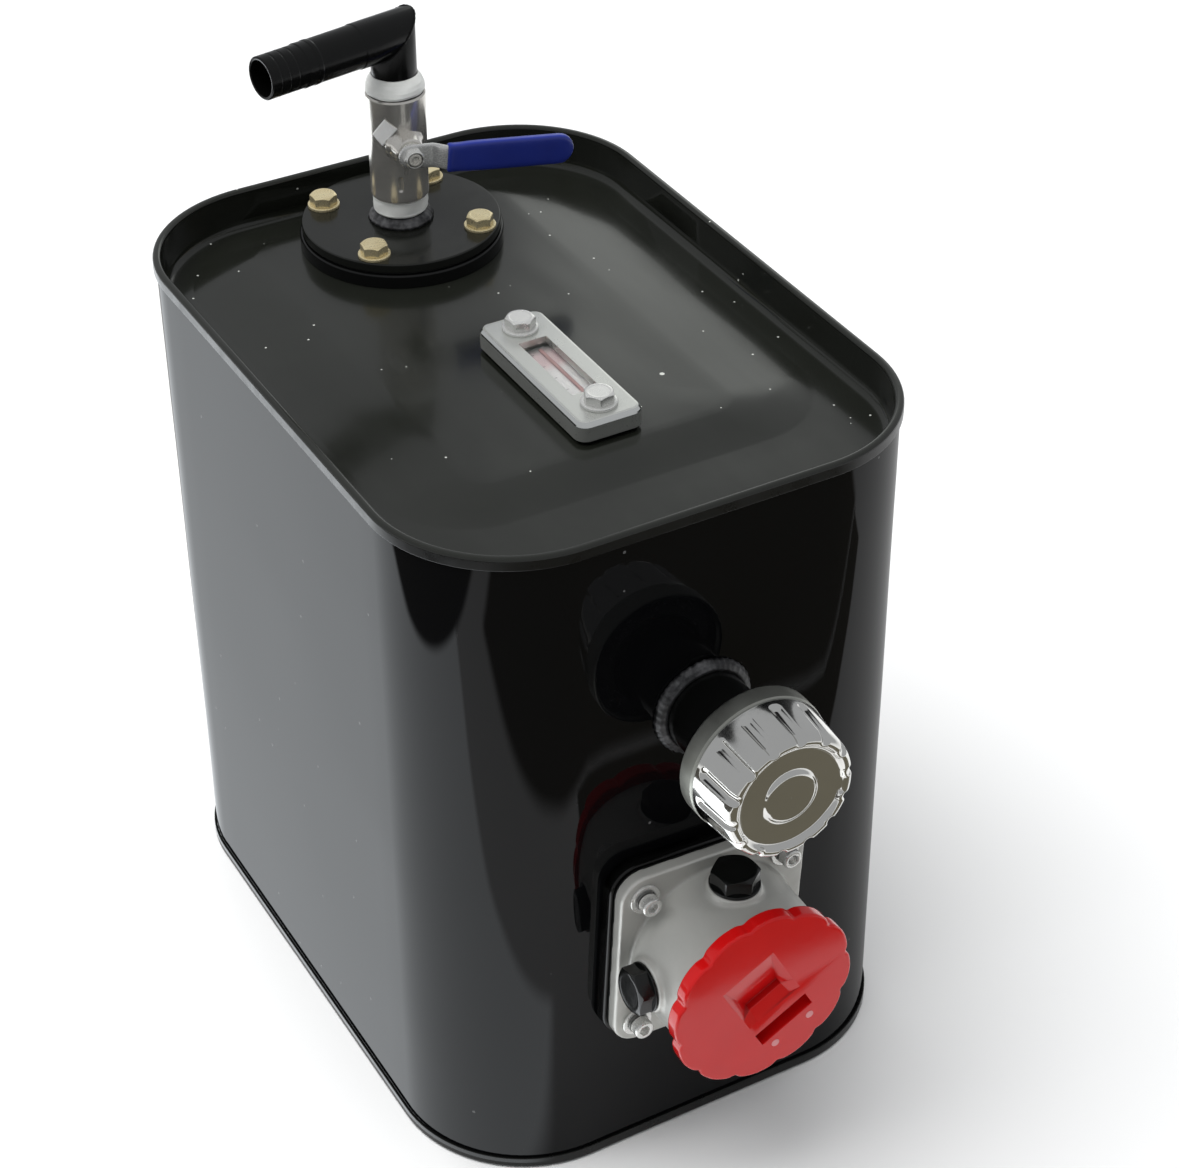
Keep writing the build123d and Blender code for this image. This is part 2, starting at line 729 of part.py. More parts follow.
with BuildPart() as breather_base_plate:
    with BuildSketch(breather(NECK_END + 2.3)):
        Circle(34.7)
        Circle(10.0, mode=Mode.SUBTRACT)
    extrude(amount=1.2)
breather_base_plate.part.label = "breather_base_plate"
export_step(breather_base_plate.part, "parts/breather_base_plate.step")

with BuildPart() as breather_element:
    with BuildSketch(breather(NECK_END + 3.7)):
        Circle(30.0)
        Circle(14.0, mode=Mode.SUBTRACT)
    extrude(amount=24.0)
breather_element.part.label = "breather_element"
export_step(breather_element.part, "parts/breather_element.step")

# pressed cap: plain skirt, fluted wall, dished top
FLUTES = 14
with BuildPart() as breather_cap:
    with BuildSketch(BR):
        with BuildLine():
            Polyline(
                (0, CAP_FACE - 1.0),
                (13.2, CAP_FACE - 1.0),
                (14.4, CAP_FACE - 2.6),
                (26.6, CAP_FACE - 2.6),
                (28.6, CAP_FACE - 0.4),
                (30.2, CAP_FACE),
                (31.4, CAP_FACE),
                (33.2, CAP_FACE - 1.0),
                (34.2, CAP_FACE - 3.2),
                (36.1, CAP_FACE - 27.0),
                (36.8, CAP_FACE - 28.6),
                (36.8, NECK_END),
                (36.2, NECK_END - 0.8),
                (34.8, NECK_END - 0.8),
                (34.8, CAP_FACE - 27.0),
                (31.2, CAP_FACE - 5.6),
                (0, CAP_FACE - 5.6),
                close=True,
            )
        make_face()
    revolve(axis=BR_AXIS)
    with BuildSketch(breather(CAP_FACE - 25.5)):
        with PolarLocations(37.9, FLUTES, start_angle=6):
            Circle(3.6)
    extrude(amount=40, taper=-1.5, mode=Mode.SUBTRACT)
breather_cap.part.label = "breather_cap"
export_step(breather_cap.part, "parts/breather_cap.step")

# ------------------------------------------------------------ return filter
PAD_FACE = WALL + 7.0
with BuildPart() as filter_weld_pad:
    with BuildSketch(filt(WALL)):
        RectangleRounded(FLANGE + 3, FLANGE + 3, 15)
        Circle(42.0, mode=Mode.SUBTRACT)
    extrude(amount=7.0)
    with BuildSketch(filt(WALL + 0.8)):
        with GridLocations(SCREW_PITCH, SCREW_PITCH, 2, 2):
            Circle(3.05)
    extrude(amount=20, mode=Mode.SUBTRACT)
    outer = filter_weld_pad.faces().sort_by(FR_AXIS)[-1].edges()
    fillet([e for e in outer if e.length > 10 and abs(e.center().Y - (Y0 - PAD_FACE)) < 0.01 and e.geom_type == GeomType.LINE or e.length < 30 and e.geom_type == GeomType.CIRCLE and e.radius > 10], radius=1.5)
filter_weld_pad.part.label = "filter_weld_pad"
export_step(filter_weld_pad.part, "parts/filter_weld_pad.step")

GASKET_FACE = PAD_FACE + 1.0
with BuildPart() as filter_gasket:
    with BuildSketch(filt(PAD_FACE)):
        RectangleRounded(FLANGE - 1, FLANGE - 1, 13.5)
        Circle(42.0, mode=Mode.SUBTRACT)
        with GridLocations(SCREW_PITCH, SCREW_PITCH, 2, 2):
            Circle(3.4, mode=Mode.SUBTRACT)
    extrude(amount=1.0)
filter_gasket.part.label = "filter_gasket"
export_step(filter_gasket.part, "parts/filter_gasket.step")

# cast head: square flange, tapering barrel, two port bosses
PORT_Y = 224.2  # the port axes' distance forward of the tank's middle
BOSS_TOP = 47.5  # boss faces' distance from the filter's axis
with BuildPart() as filter_head:
    with BuildSketch(filt(GASKET_FACE)):
        RectangleRounded(FLANGE, FLANGE, 14)
    extrude(amount=FLANGE_FACE - GASKET_FACE)
    rim_edges = filter_head.faces().sort_by(FR_AXIS)[-1].edges()
    fillet(rim_edges, radius=1.8)
    with BuildSketch(filt(FLANGE_FACE - 1)):
        Circle(46.4)
    with BuildSketch(filt(HEAD_END)):
        Circle(45.0)
    loft()
    a = radians(F_TURN)
    for bx, bz in ((sin(a), cos(a)), (-cos(a), sin(a))):
        boss = Vector(bx, 0, bz)
        with BuildSketch(
            Plane(
                origin=Vector(FX, Y0 - PORT_Y, FZ) + boss * 25,
                x_dir=(0, 1, 0),
                z_dir=boss,
            )
        ):
            Circle(14.4)
        extrude(amount=BOSS_TOP - 25, taper=1.5)
    with BuildSketch(filt(GASKET_FACE - 1)):
        Circle(40.0)
    extrude(amount=80, mode=Mode.SUBTRACT)
    for bx, bz in ((sin(a), cos(a)), (-cos(a), sin(a))):
        boss = Vector(bx, 0, bz)
        with BuildSketch(
            Plane(
                origin=Vector(FX, Y0 - PORT_Y, FZ) + boss * 30,
                x_dir=(0, 1, 0),
                z_dir=boss,
            )
        ):
            Circle(10.5)
        extrude(amount=40, mode=Mode.SUBTRACT)
    with BuildSketch(filt(GASKET_FACE - 1)):
        with GridLocations(SCREW_PITCH, SCREW_PITCH, 2, 2):
            Circle(3.5)
    extrude(amount=30, mode=Mode.SUBTRACT)
filter_head.part.label = "filter_head"
export_step(filter_head.part, "parts/filter_head.step")

# port plugs with hexagon heads
for plug_name, bx, bz in (
    ("port_plug_top", sin(a), cos(a)),
    ("port_plug_side", -cos(a), sin(a)),
):
    boss = Vector(bx, 0, bz)
    plug_origin = Vector(FX, Y0 - PORT_Y, FZ)
    with BuildPart() as plug:
        with BuildSketch(
            Plane(origin=plug_origin + boss * (BOSS_TOP + 0.0), x_dir=(0, 1, 0), z_dir=boss)
        ):
            Circle(12.9)
        extrude(amount=1.5)
        with BuildSketch(
            Plane(origin=plug_origin + boss * (BOSS_TOP + 1.5), x_dir=(0, 1, 0), z_dir=boss)
        ):
            RegularPolygon(11.0, 6, major_radius=False, rotation=8)
        extrude(amount=8.0)
        far = [
            e
            for e in plug.edges()
            if abs((e.center() - plug_origin).dot(boss) - (BOSS_TOP + 9.5)) < 0.01
        ]
        chamfer(far, length=0.8)
        with BuildSketch(
            Plane(origin=plug_origin + boss * BOSS_TOP, x_dir=(0, 1, 0), z_dir=boss)
        ):
            Circle(10.4)
        extrude(amount=-7.0)
    plug.part.label = plug_name
    export_step(plug.part, f"parts/{plug_name}.step")

with BuildPart() as filter_washers:
    with BuildSketch(filt(FLANGE_FACE)):
        with GridLocations(SCREW_PITCH, SCREW_PITCH, 2, 2):
            Circle(8.2)
            Circle(3.2, mode=Mode.SUBTRACT)
    extrude(amount=1.6)
filter_washers.part.label = "filter_washers"
export_step(filter_washers.part, "parts/filter_washers.step")

# split spring washers
with BuildPart() as filter_spring_washers:
    with BuildSketch(filt(FLANGE_FACE + 1.6)):
        with GridLocations(SCREW_PITCH, SCREW_PITCH, 2, 2):
            Circle(5.6)
            Circle(3.2, mode=Mode.SUBTRACT)
            with Locations((4.4, 0)):
                Rectangle(4.0, 0.8, mode=Mode.SUBTRACT, rotation=20)
    extrude(amount=1.3)
filter_spring_washers.part.label = "filter_spring_washers"
export_step(filter_spring_washers.part, "parts/filter_spring_washers.step")

HEAD_SEAT = FLANGE_FACE + 2.9
with BuildPart() as filter_screws:
    with BuildSketch(filt(HEAD_SEAT)):
        with GridLocations(SCREW_PITCH, SCREW_PITCH, 2, 2):
            Circle(5.2)
    extrude(amount=6.0)
    heads = filter_screws.faces().sort_by(FR_AXIS)[-4:].edges()
    fillet(heads, radius=0.6)
    with BuildSketch(filt(HEAD_SEAT + 2.8)):
        with GridLocations(SCREW_PITCH, SCREW_PITCH, 2, 2):
            RegularPolygon(2.5, 6, major_radius=False)
    extrude(amount=10, mode=Mode.SUBTRACT)
    with BuildSketch(filt(HEAD_SEAT)):
        with GridLocations(SCREW_PITCH, SCREW_PITCH, 2, 2):
            Circle(3.0)
    extrude(amount=-(HEAD_SEAT - WALL - 1.0))
filter_screws.part.label = "filter_screws"
export_step(filter_screws.part, "parts/filter_screws.step")

# bowl hanging from the head into the tank
with BuildPart() as filter_bowl:
    with BuildSketch(filt(85)):
        Circle(39.2)
    extrude(amount=205 - 85)
    with BuildSketch(filt(86.5)):
        Circle(37.7)
    extrude(amount=130, mode=Mode.SUBTRACT)
    with BuildSketch(filt(84)):
        Circle(16.0)
    extrude(amount=5, mode=Mode.SUBTRACT)
filter_bowl.part.label = "filter_bowl"
export_step(filter_bowl.part, "parts/filter_bowl.step")

with BuildPart() as filter_element:
    with BuildSketch(filt(96)):
        Circle(32.5)
        Circle(20.0, mode=Mode.SUBTRACT)
    extrude(amount=134)
filter_element.part.label = "filter_element"
export_step(filter_element.part, "parts/filter_element.step")

with BuildPart() as element_end_caps:
    with BuildSketch(filt(92)):
        Circle(33.5)
        Circle(15.0, mode=Mode.SUBTRACT)
    extrude(amount=4)
    with BuildSketch(filt(230)):
        Circle(33.5)
    extrude(amount=4)
element_end_caps.part.label = "element_end_caps"
export_step(element_end_caps.part, "parts/element_end_caps.step")

# screwed cap with a scalloped rim and a sunk finger grip
G_TURN = 28.5  # the grip's cross direction, seen from the front
with BuildPart() as filter_cap:
    with BuildSketch(filt(HEAD_END + 0.3)):
        Circle(RED_R)
        with PolarLocations(RED_R + 8.2, 12, start_angle=14):
            Circle(10.0, mode=Mode.SUBTRACT)
    extrude(amount=RED_FACE - HEAD_END - 0.3)
    rims = [
        e
        for e in filter_cap.edges()
        if abs(e.center().Y - (Y0 - RED_FACE)) < 0.01
    ]
    fillet(rims, radius=0.9)
    with BuildSketch(filt(HEAD_END - 12)):
        Circle(39.4)
        Circle(34.5, mode=Mode.SUBTRACT)
    extrude(amount=12.5)
    # boss that backs the grip
    g = radians(G_TURN)
    grip = Plane(
        origin=(FX, Y0 - RED_FACE, FZ), x_dir=(cos(g), 0, sin(g)), z_dir=(0, -1, 0)
    )
    with BuildSketch(grip.offset(-(RED_FACE - HEAD_END) - 3.0)):
        with Locations((1.0, -2.0)):
            Rectangle(40, 56)
    extrude(amount=4.0)
    # ramp that falls away towards the bar
    ramp_plane = Plane(
        origin=grip.origin + grip.x_dir * -12.0, x_dir=grip.y_dir, z_dir=grip.x_dir
    )
    with BuildSketch(ramp_plane):
        with BuildLine():
            Polyline((22.5, 0.0), (22.5, 1.0), (-3.0, 1.0), (-3.0, -6.5), close=True)
        make_face()
    extrude(amount=26.0, mode=Mode.SUBTRACT)
    # slot below the bar
    with BuildSketch(grip):
        with Locations((1.0, -22.8)):
            Rectangle(32, 9.0)
    extrude(amount=-8.0, mode=Mode.SUBTRACT)
filter_cap.part.label = "filter_cap"
export_step(filter_cap.part, "parts/filter_cap.step")

with BuildPart() as filter_cap_seal:
    with BuildSketch(filt(HEAD_END - 12)):
        Circle(39.75)
        Circle(39.4, mode=Mode.SUBTRACT)
    extrude(amount=3.0)
filter_cap_seal.part.label = "filter_cap_seal"
export_step(filter_cap_seal.part, "parts/filter_cap_seal.step")
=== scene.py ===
import json
import math

import bmesh
import bpy
import numpy as np
from mathutils import Matrix, Vector, noise


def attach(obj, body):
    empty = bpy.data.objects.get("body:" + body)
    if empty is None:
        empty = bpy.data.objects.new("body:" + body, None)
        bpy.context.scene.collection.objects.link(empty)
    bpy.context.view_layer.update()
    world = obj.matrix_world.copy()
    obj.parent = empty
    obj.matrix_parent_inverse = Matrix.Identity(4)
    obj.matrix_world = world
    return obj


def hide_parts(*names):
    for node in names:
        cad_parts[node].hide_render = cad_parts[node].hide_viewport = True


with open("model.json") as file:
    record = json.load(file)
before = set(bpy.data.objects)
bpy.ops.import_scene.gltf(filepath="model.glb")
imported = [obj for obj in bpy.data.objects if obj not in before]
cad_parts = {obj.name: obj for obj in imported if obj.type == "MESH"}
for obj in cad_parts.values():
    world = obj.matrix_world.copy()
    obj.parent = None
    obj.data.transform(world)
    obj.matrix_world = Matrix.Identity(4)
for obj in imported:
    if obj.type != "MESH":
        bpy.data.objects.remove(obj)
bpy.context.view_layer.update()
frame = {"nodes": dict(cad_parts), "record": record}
NODES = frame["nodes"]
MM = 0.001
PI = math.pi

# ---------------------------------------------------------------- dimensions
W, D, H, R_RIM, INSET, T = 277.0, 386.0, 390.0, 72.5, 1.5, 1.5
CAP_FACE = 271.5
Y0 = (CAP_FACE - D / 2) / 2
WALL = D / 2 - INSET
PAN = 367.0
SEAT = 370.5
SX, SY = 2.2, 130.6
GX, GY = 2.5, -43.0
BX, BZ = -3.5, 275.2
FX, FZ = -5.3, 138.9


def v3(*a):
    return np.array(a, float)


def unit(a):
    return a / np.linalg.norm(a)


class Fr:
    """Local frame in millimetres: origin, x and z directions."""

    def __init__(self, o, x, z):
        self.o = v3(*o)
        self.z = unit(v3(*z))
        x = v3(*x)
        self.x = unit(x - self.z * np.dot(x, self.z))
        self.y = np.cross(self.z, self.x)

    def __call__(self, p):
        p = np.asarray(p, float)
        return (
            self.o
            + p[..., 0:1] * self.x
            + p[..., 1:2] * self.y
            + p[..., 2:3] * self.z
        ) * MM

    def at(self, x, y, z=0.0):
        f = Fr((0, 0, 0), self.x, self.z)
        f.o = self.o + x * self.x + y * self.y + z * self.z
        return f

    def turned(self, deg):
        a = math.radians(deg)
        return Fr(self.o, self.x * math.cos(a) + self.y * math.sin(a), self.z)


TOP = Fr((0, Y0, 0), (1, 0, 0), (0, 0, 1))
STACK = TOP.at(SX, SY)
GAUGE = TOP.at(GX, GY)
BRE = Fr((BX, Y0, BZ), (1, 0, 0), (0, -1, 0))
_f = math.radians(3.0)
FIL = Fr((FX, Y0, FZ), (math.cos(_f), 0, -math.sin(_f)), (0, -1, 0))
_s, _d = math.radians(-99.2), math.radians(5.5)
S_DIR = v3(math.cos(_s), math.sin(_s), 0)
L_DIR = v3(-math.sin(_s), math.cos(_s), 0) * math.cos(_d) - v3(0, 0, 1) * math.sin(_d)
STEM = Fr((SX, SY + Y0, 432.5), L_DIR, S_DIR)
_t = math.radians(189.5)
T_DIR = v3(math.cos(_t), math.sin(_t), 0)
TAIL = Fr((SX, SY + Y0, 489.0), (0, 0, 1), T_DIR)
RISER = Fr((SX, SY + Y0, 489.0), T_DIR, (0, 0, 1))

# ------------------------------------------------------------------ materials


class Mat:
    """Small helper that wires a procedural Principled material."""

    def __init__(self, name):
        self.m = bpy.data.materials.new(name)
        self.m.use_nodes = True
        self.n = self.m.node_tree.nodes
        self.l = self.m.node_tree.links
        self.b = self.n["Principled BSDF"]
        self.tc = self.n.new("ShaderNodeTexCoord")
        self.last_bump = None

    def link(self, a, b):
        self.l.new(a, b)

    def coords(self, scale=(1, 1, 1), rot=(0, 0, 0), loc=(0, 0, 0)):
        mp = self.n.new("ShaderNodeMapping")
        mp.inputs["Scale"].default_value = scale
        mp.inputs["Rotation"].default_value = rot
        mp.inputs["Location"].default_value = loc
        self.link(self.tc.outputs["Object"], mp.inputs["Vector"])
        return mp.outputs["Vector"]

    def noise(self, scale, detail=2.0, rough=0.5, vec=None, distort=0.0):
        t = self.n.new("ShaderNodeTexNoise")
        t.inputs["Scale"].default_value = scale
        t.inputs["Detail"].default_value = detail
        t.inputs["Roughness"].default_value = rough
        t.inputs["Distortion"].default_value = distort
        self.link(vec or self.tc.outputs["Object"], t.inputs["Vector"])
        return t.outputs["Fac"]

    def ramp(self, fac, stops):
        r = self.n.new("ShaderNodeValToRGB")
        e = r.color_ramp.elements
        while len(e) < len(stops):
            e.new(0.5)
        for i, (p, c) in enumerate(stops):
            e[i].position = p
            e[i].color = (*c, 1) if isinstance(c, (tuple, list)) else (c, c, c, 1)
        self.link(fac, r.inputs["Fac"])
        return r.outputs["Color"]

    def mix(self, fac, a, b):
        x = self.n.new("ShaderNodeMix")
        x.data_type = "RGBA"
        if isinstance(fac, (int, float)):
            x.inputs[0].default_value = fac
        else:
            self.link(fac, x.inputs[0])
        for sock, val in ((x.inputs[6], a), (x.inputs[7], b)):
            if isinstance(val, (tuple, list)):
                sock.default_value = (*val, 1)
            else:
                self.link(val, sock)
        return x.outputs[2]

    def math(self, op, a, b=None, clamp=False):
        x = self.n.new("ShaderNodeMath")
        x.operation = op
        x.use_clamp = clamp
        for i, val in enumerate((a, b)):
            if val is None:
                continue
            if isinstance(val, (int, float)):
                x.inputs[i].default_value = val
            else:
                self.link(val, x.inputs[i])
        return x.outputs[0]

    def bump(self, height, dist, strength=1.0):
        b = self.n.new("ShaderNodeBump")
        b.inputs["Strength"].default_value = strength
        b.inputs["Distance"].default_value = dist
        self.link(height, b.inputs["Height"])
        if self.last_bump:
            self.link(self.last_bump, b.inputs["Normal"])
        self.last_bump = b.outputs["Normal"]
        self.link(self.last_bump, self.b.inputs["Normal"])

    def set(self, **kw):
        for k, val in kw.items():
            k = k.replace("_", " ")
            sock = self.b.inputs[k]
            if isinstance(val, (int, float)):
                sock.default_value = val
            elif isinstance(val, (tuple, list)):
                sock.default_value = (*val, 1) if sock.type == "RGBA" else val
            else:
                self.link(val, sock)

    def flecks(self, scale, size, density_seed=0.0, keep=0.5):
        """Scattered specks: 1 inside a fleck, 0 elsewhere."""
        vo = self.n.new("ShaderNodeTexVoronoi")
        vo.inputs["Scale"].default_value = scale
        vo.inputs["Randomness"].default_value = 1.0
        self.link(self.coords(loc=(density_seed, density_seed * 0.7, 0)), vo.inputs["Vector"])
        near = self.math("LESS_THAN", vo.outputs["Distance"], size)
        sep = self.n.new("ShaderNodeSeparateColor")
        self.link(vo.outputs["Color"], sep.inputs["Color"])
        few = self.math("GREATER_THAN", sep.outputs["Red"], keep)
        return self.math("MULTIPLY", near, few)


def m_tank():
    k = Mat("tank_black_paint")
    big = k.noise(7.0, 2.0)
    fine = k.noise(900.0, 3.0, 0.6)
    dust = k.flecks(55.0, 0.045, 1.3, 0.72)
    col = k.mix(big, (0.0018, 0.0019, 0.0022), (0.0030, 0.0031, 0.0035))
    k.set(Base_Color=k.mix(dust, col, (0.10, 0.10, 0.10)))
    k.set(
        Roughness=k.ramp(k.noise(30.0, 4.0, 0.6), [(0.35, 0.10), (0.7, 0.17)]),
        Coat_Weight=0.40,
        Coat_Roughness=0.03,
        Coat_IOR=1.46,
    )
    k.set(IOR=1.5, Specular_IOR_Level=0.0)
    k.bump(k.noise(190.0, 2.0, 0.45), 0.00006, 0.16)
    k.bump(fine, 0.00001, 0.25)
    return k.m


def m_panel():
    k = Mat("panel_black_paint")
    cloud = k.noise(14.0, 4.0, 0.62)
    streak = k.noise(26.0, 5.0, 0.6, k.coords((3.2, 0.45, 1.0), (0, 0, 0.5)))
    col = k.mix(cloud, (0.0050, 0.0055, 0.0042), (0.0105, 0.0115, 0.0090))
    specks = k.flecks(95.0, 0.055, 4.2, 0.60)
    big = k.flecks(26.0, 0.035, 9.1, 0.86)
    both = k.math("MAXIMUM", specks, big)
    k.set(Base_Color=k.mix(both, col, (0.42, 0.43, 0.40)))
    k.set(
        Roughness=k.ramp(k.math("ADD", k.math("MULTIPLY", cloud, 0.5), k.math("MULTIPLY", streak, 0.5)), [(0.32, 0.13), (0.68, 0.23)]),
        Coat_Weight=0.20,
        Coat_Roughness=0.08,
        Specular_IOR_Level=0.42,
    )
    k.bump(k.noise(240.0, 3.0, 0.5), 0.00003, 0.16)
    k.bump(k.noise(1500.0, 2.0, 0.5), 0.00001, 0.3)
    return k.m


def m_satin_black(name, base=0.012, rough=0.33, wear=0.0, tint=(1, 1, 1), spec=0.5):
    k = Mat(name)
    n = k.noise(60.0, 4.0, 0.6)
    a = tuple(base * 0.85 * c for c in tint)
    b = tuple(base * 1.15 * c for c in tint)
    col = k.mix(n, a, b)
    if wear:
        geo = k.n.new("ShaderNodeNewGeometry")
        edge = k.ramp(geo.outputs["Pointiness"], [(0.53, 0.0), (0.60, 1.0)])
        patchy = k.math("MULTIPLY", edge, k.ramp(k.noise(180.0, 4.0, 0.7), [(0.45, 0.0), (0.6, wear)]))
        col = k.mix(patchy, col, (0.30, 0.29, 0.27))
    k.set(Base_Color=col)
    k.set(Roughness=k.ramp(k.noise(120.0, 4.0, 0.6), [(0.3, rough - 0.05), (0.7, rough + 0.06)]), Specular_IOR_Level=spec)
    k.bump(k.noise(420.0, 3.0, 0.55), 0.00004, 0.2)
    return k.m


def m_weld():
    k = Mat("painted_weld")
    n = k.noise(330.0, 4.0, 0.65)
    chalk = k.ramp(k.noise(90.0, 5.0, 0.7), [(0.42, 0.0), (0.62, 1.0)])
    k.set(Base_Color=k.mix(chalk, (0.010, 0.010, 0.011), k.mix(n, (0.030, 0.030, 0.032), (0.13, 0.13, 0.135))))
    k.set(Roughness=k.ramp(n, [(0.3, 0.30), (0.7, 0.62)]))
    k.bump(n, 0.0004, 0.55)
    return k.m


def m_rubber():
    k = Mat("black_rubber")
    n = k.noise(300.0, 4.0, 0.6)
    k.set(Base_Color=k.mix(n, (0.006, 0.006, 0.006), (0.016, 0.016, 0.015)))
    k.set(Roughness=k.ramp(n, [(0.3, 0.55), (0.7, 0.8)]), Specular_IOR_Level=0.35)
    k.bump(n, 0.00015, 0.4)
    return k.m


def m_metal(name, lo, hi, rough=(0.2, 0.32), nscale=90.0, grain=None, bump=0.00002, bscale=900.0, wearc=None, metallic=1.0):
    k = Mat(name)
    n = k.noise(nscale, 4.0, 0.6)
    col = k.mix(n, lo, hi)
    if wearc:
        geo = k.n.new("ShaderNodeNewGeometry")
        col = k.mix(k.ramp(geo.outputs["Pointiness"], [(0.47, 1.0), (0.50, 0.0)]), col, wearc)
    k.set(Base_Color=col, Metallic=metallic)
    vec = k.coords(grain) if grain else None
    g = k.noise(bscale, 3.0, 0.6, vec)
    k.set(Roughness=k.ramp(k.math("ADD", k.math("MULTIPLY", n, 0.5), k.math("MULTIPLY", g, 0.5)), [(0.35, rough[0]), (0.65, rough[1])]))
    k.bump(g, bump, 0.4)
    return k.m


def m_cast():
    k = Mat("satin_cast_aluminium")
    n = k.noise(35.0, 4.0, 0.6)
    geo = k.n.new("ShaderNodeNewGeometry")
    col = k.mix(n, (0.40, 0.40, 0.375), (0.49, 0.49, 0.465))
    col = k.mix(k.ramp(geo.outputs["Pointiness"], [(0.515, 0.0), (0.56, 0.55)]), col, (0.78, 0.78, 0.75))
    # hollows (low pointiness, where bosses and flange meet the cone) are mixed toward dark grey: painted shade in the
    # hollows
    col = k.mix(k.ramp(geo.outputs["Pointiness"], [(0.44, 0.6), (0.49, 0.0)]), col, (0.16, 0.16, 0.15))
    k.set(Base_Color=col, Metallic=0.45)
    k.set(Roughness=k.ramp(k.noise(160.0, 4.0, 0.65), [(0.3, 0.36), (0.7, 0.52)]))
    k.bump(k.noise(1100.0, 3.0, 0.6), 0.00006, 0.5)
    k.bump(k.noise(120.0, 3.0, 0.5), 0.00010, 0.25)
    return k.m


def m_red():
    k = Mat("red_nylon")
    n = k.noise(45.0, 4.0, 0.55)
    geo = k.n.new("ShaderNodeNewGeometry")
    col = k.mix(n, (0.50, 0.004, 0.005), (0.57, 0.007, 0.007))
    # convex edges (high pointiness) are mixed toward a brighter, more saturated red: painted highlight along the edges
    col = k.mix(k.ramp(geo.outputs["Pointiness"], [(0.52, 0.0), (0.60, 0.35)]), col, (0.85, 0.07, 0.07))
    k.set(Base_Color=col)
    k.set(Roughness=k.ramp(k.noise(260.0, 4.0, 0.6), [(0.3, 0.09), (0.7, 0.13)]), IOR=1.5, Specular_IOR_Level=0.42)
    k.bump(k.noise(900.0, 3.0, 0.5), 0.00001, 0.2)
    return k.m


def m_tint(name, lo, hi, rough):
    k = Mat(name)
    n = k.noise(300.0, 4.0, 0.6)
    k.set(Base_Color=k.mix(n, lo, hi), Roughness=0.4)
    k.set(Roughness=k.ramp(n, [(0.3, rough), (0.7, rough + 0.1)]))
    k.bump(n, 0.00002, 0.3)
    return k.m


def m_ptfe():
    k = Mat("wound_ptfe_tape")
    n = k.noise(120.0, 4.0, 0.6)
    wraps = k.noise(1.0, 3.0, 0.6, k.coords((40, 40, 900)))
    k.set(Base_Color=k.mix(n, (0.66, 0.67, 0.64), (0.86, 0.87, 0.84)))
    k.set(Roughness=k.ramp(wraps, [(0.3, 0.38), (0.7, 0.60)]), Subsurface_Weight=0.15, Subsurface_Radius=(0.002, 0.002, 0.002), Subsurface_Scale=0.5)
    k.bump(wraps, 0.00025, 0.5)
    return k.m


def m_vinyl():
    k = Mat("blue_dipped_vinyl")
    n = k.noise(40.0, 3.0, 0.5)
    k.set(Base_Color=k.mix(n, (0.006, 0.014, 0.15), (0.011, 0.026, 0.24)))
    k.set(Roughness=k.ramp(k.noise(200.0, 4.0, 0.6), [(0.3, 0.28), (0.7, 0.42)]), Coat_Weight=0.2, Coat_Roughness=0.2)
    k.bump(k.noise(520.0, 3.0, 0.5), 0.00005, 0.3)
    return k.m


def m_plastic_black():
    k = Mat("black_nylon")
    n = k.noise(90.0, 4.0, 0.6)
    k.set(Base_Color=k.mix(n, (0.0026, 0.0029, 0.0026), (0.0048, 0.0052, 0.0048)))
    k.set(Roughness=k.ramp(k.noise(240.0, 4.0, 0.6), [(0.3, 0.14), (0.7, 0.22)]), Specular_IOR_Level=0.4)
    k.bump(k.noise(900.0, 3.0, 0.5), 0.00001, 0.2)
    return k.m


def m_lens():
    k = Mat("clear_acrylic")
    n = k.noise(260.0, 4.0, 0.6)
    k.set(Base_Color=(0.96, 0.98, 0.97), Transmission_Weight=1.0, IOR=1.38)
    k.set(Roughness=k.ramp(n, [(0.3, 0.01), (0.7, 0.06)]))
    k.bump(k.noise(60.0, 2.0), 0.00002, 0.3)
    return k.m


def m_scale():
    """Pale printed strip with a pink zone at the hot end."""
    k = Mat("printed_scale")
    sep = k.n.new("ShaderNodeSeparateXYZ")
    k.link(k.tc.outputs["Object"], sep.inputs["Vector"])
    y = sep.outputs["Y"]
    zone = k.ramp(
        k.math("MULTIPLY", k.math("SUBTRACT", y, (GY + Y0 - 28) * MM), 1 / (56 * MM)),
        [(0.0, (0.62, 0.60, 0.60)), (0.60, (0.62, 0.58, 0.58)), (0.72, (0.56, 0.40, 0.41)), (0.88, (0.50, 0.36, 0.37)), (1.0, (0.16, 0.17, 0.16))],
    )
    n = k.noise(500.0, 3.0, 0.6)
    k.set(Base_Color=k.mix(k.math("MULTIPLY", n, 0.25), zone, (0.35, 0.34, 0.34)), Roughness=0.5)
    k.set(Roughness=k.ramp(n, [(0.3, 0.42), (0.7, 0.6)]))
    k.bump(n, 0.00002, 0.3)
    return k.m


def m_media():
    k = Mat("filter_media")
    n = k.noise(400.0, 5.0, 0.7)
    k.set(Base_Color=k.mix(n, (0.46, 0.40, 0.28), (0.66, 0.60, 0.46)))
    k.set(Roughness=k.ramp(n, [(0.3, 0.75), (0.7, 0.95)]))
    k.bump(n, 0.0003, 0.5)
    return k.m


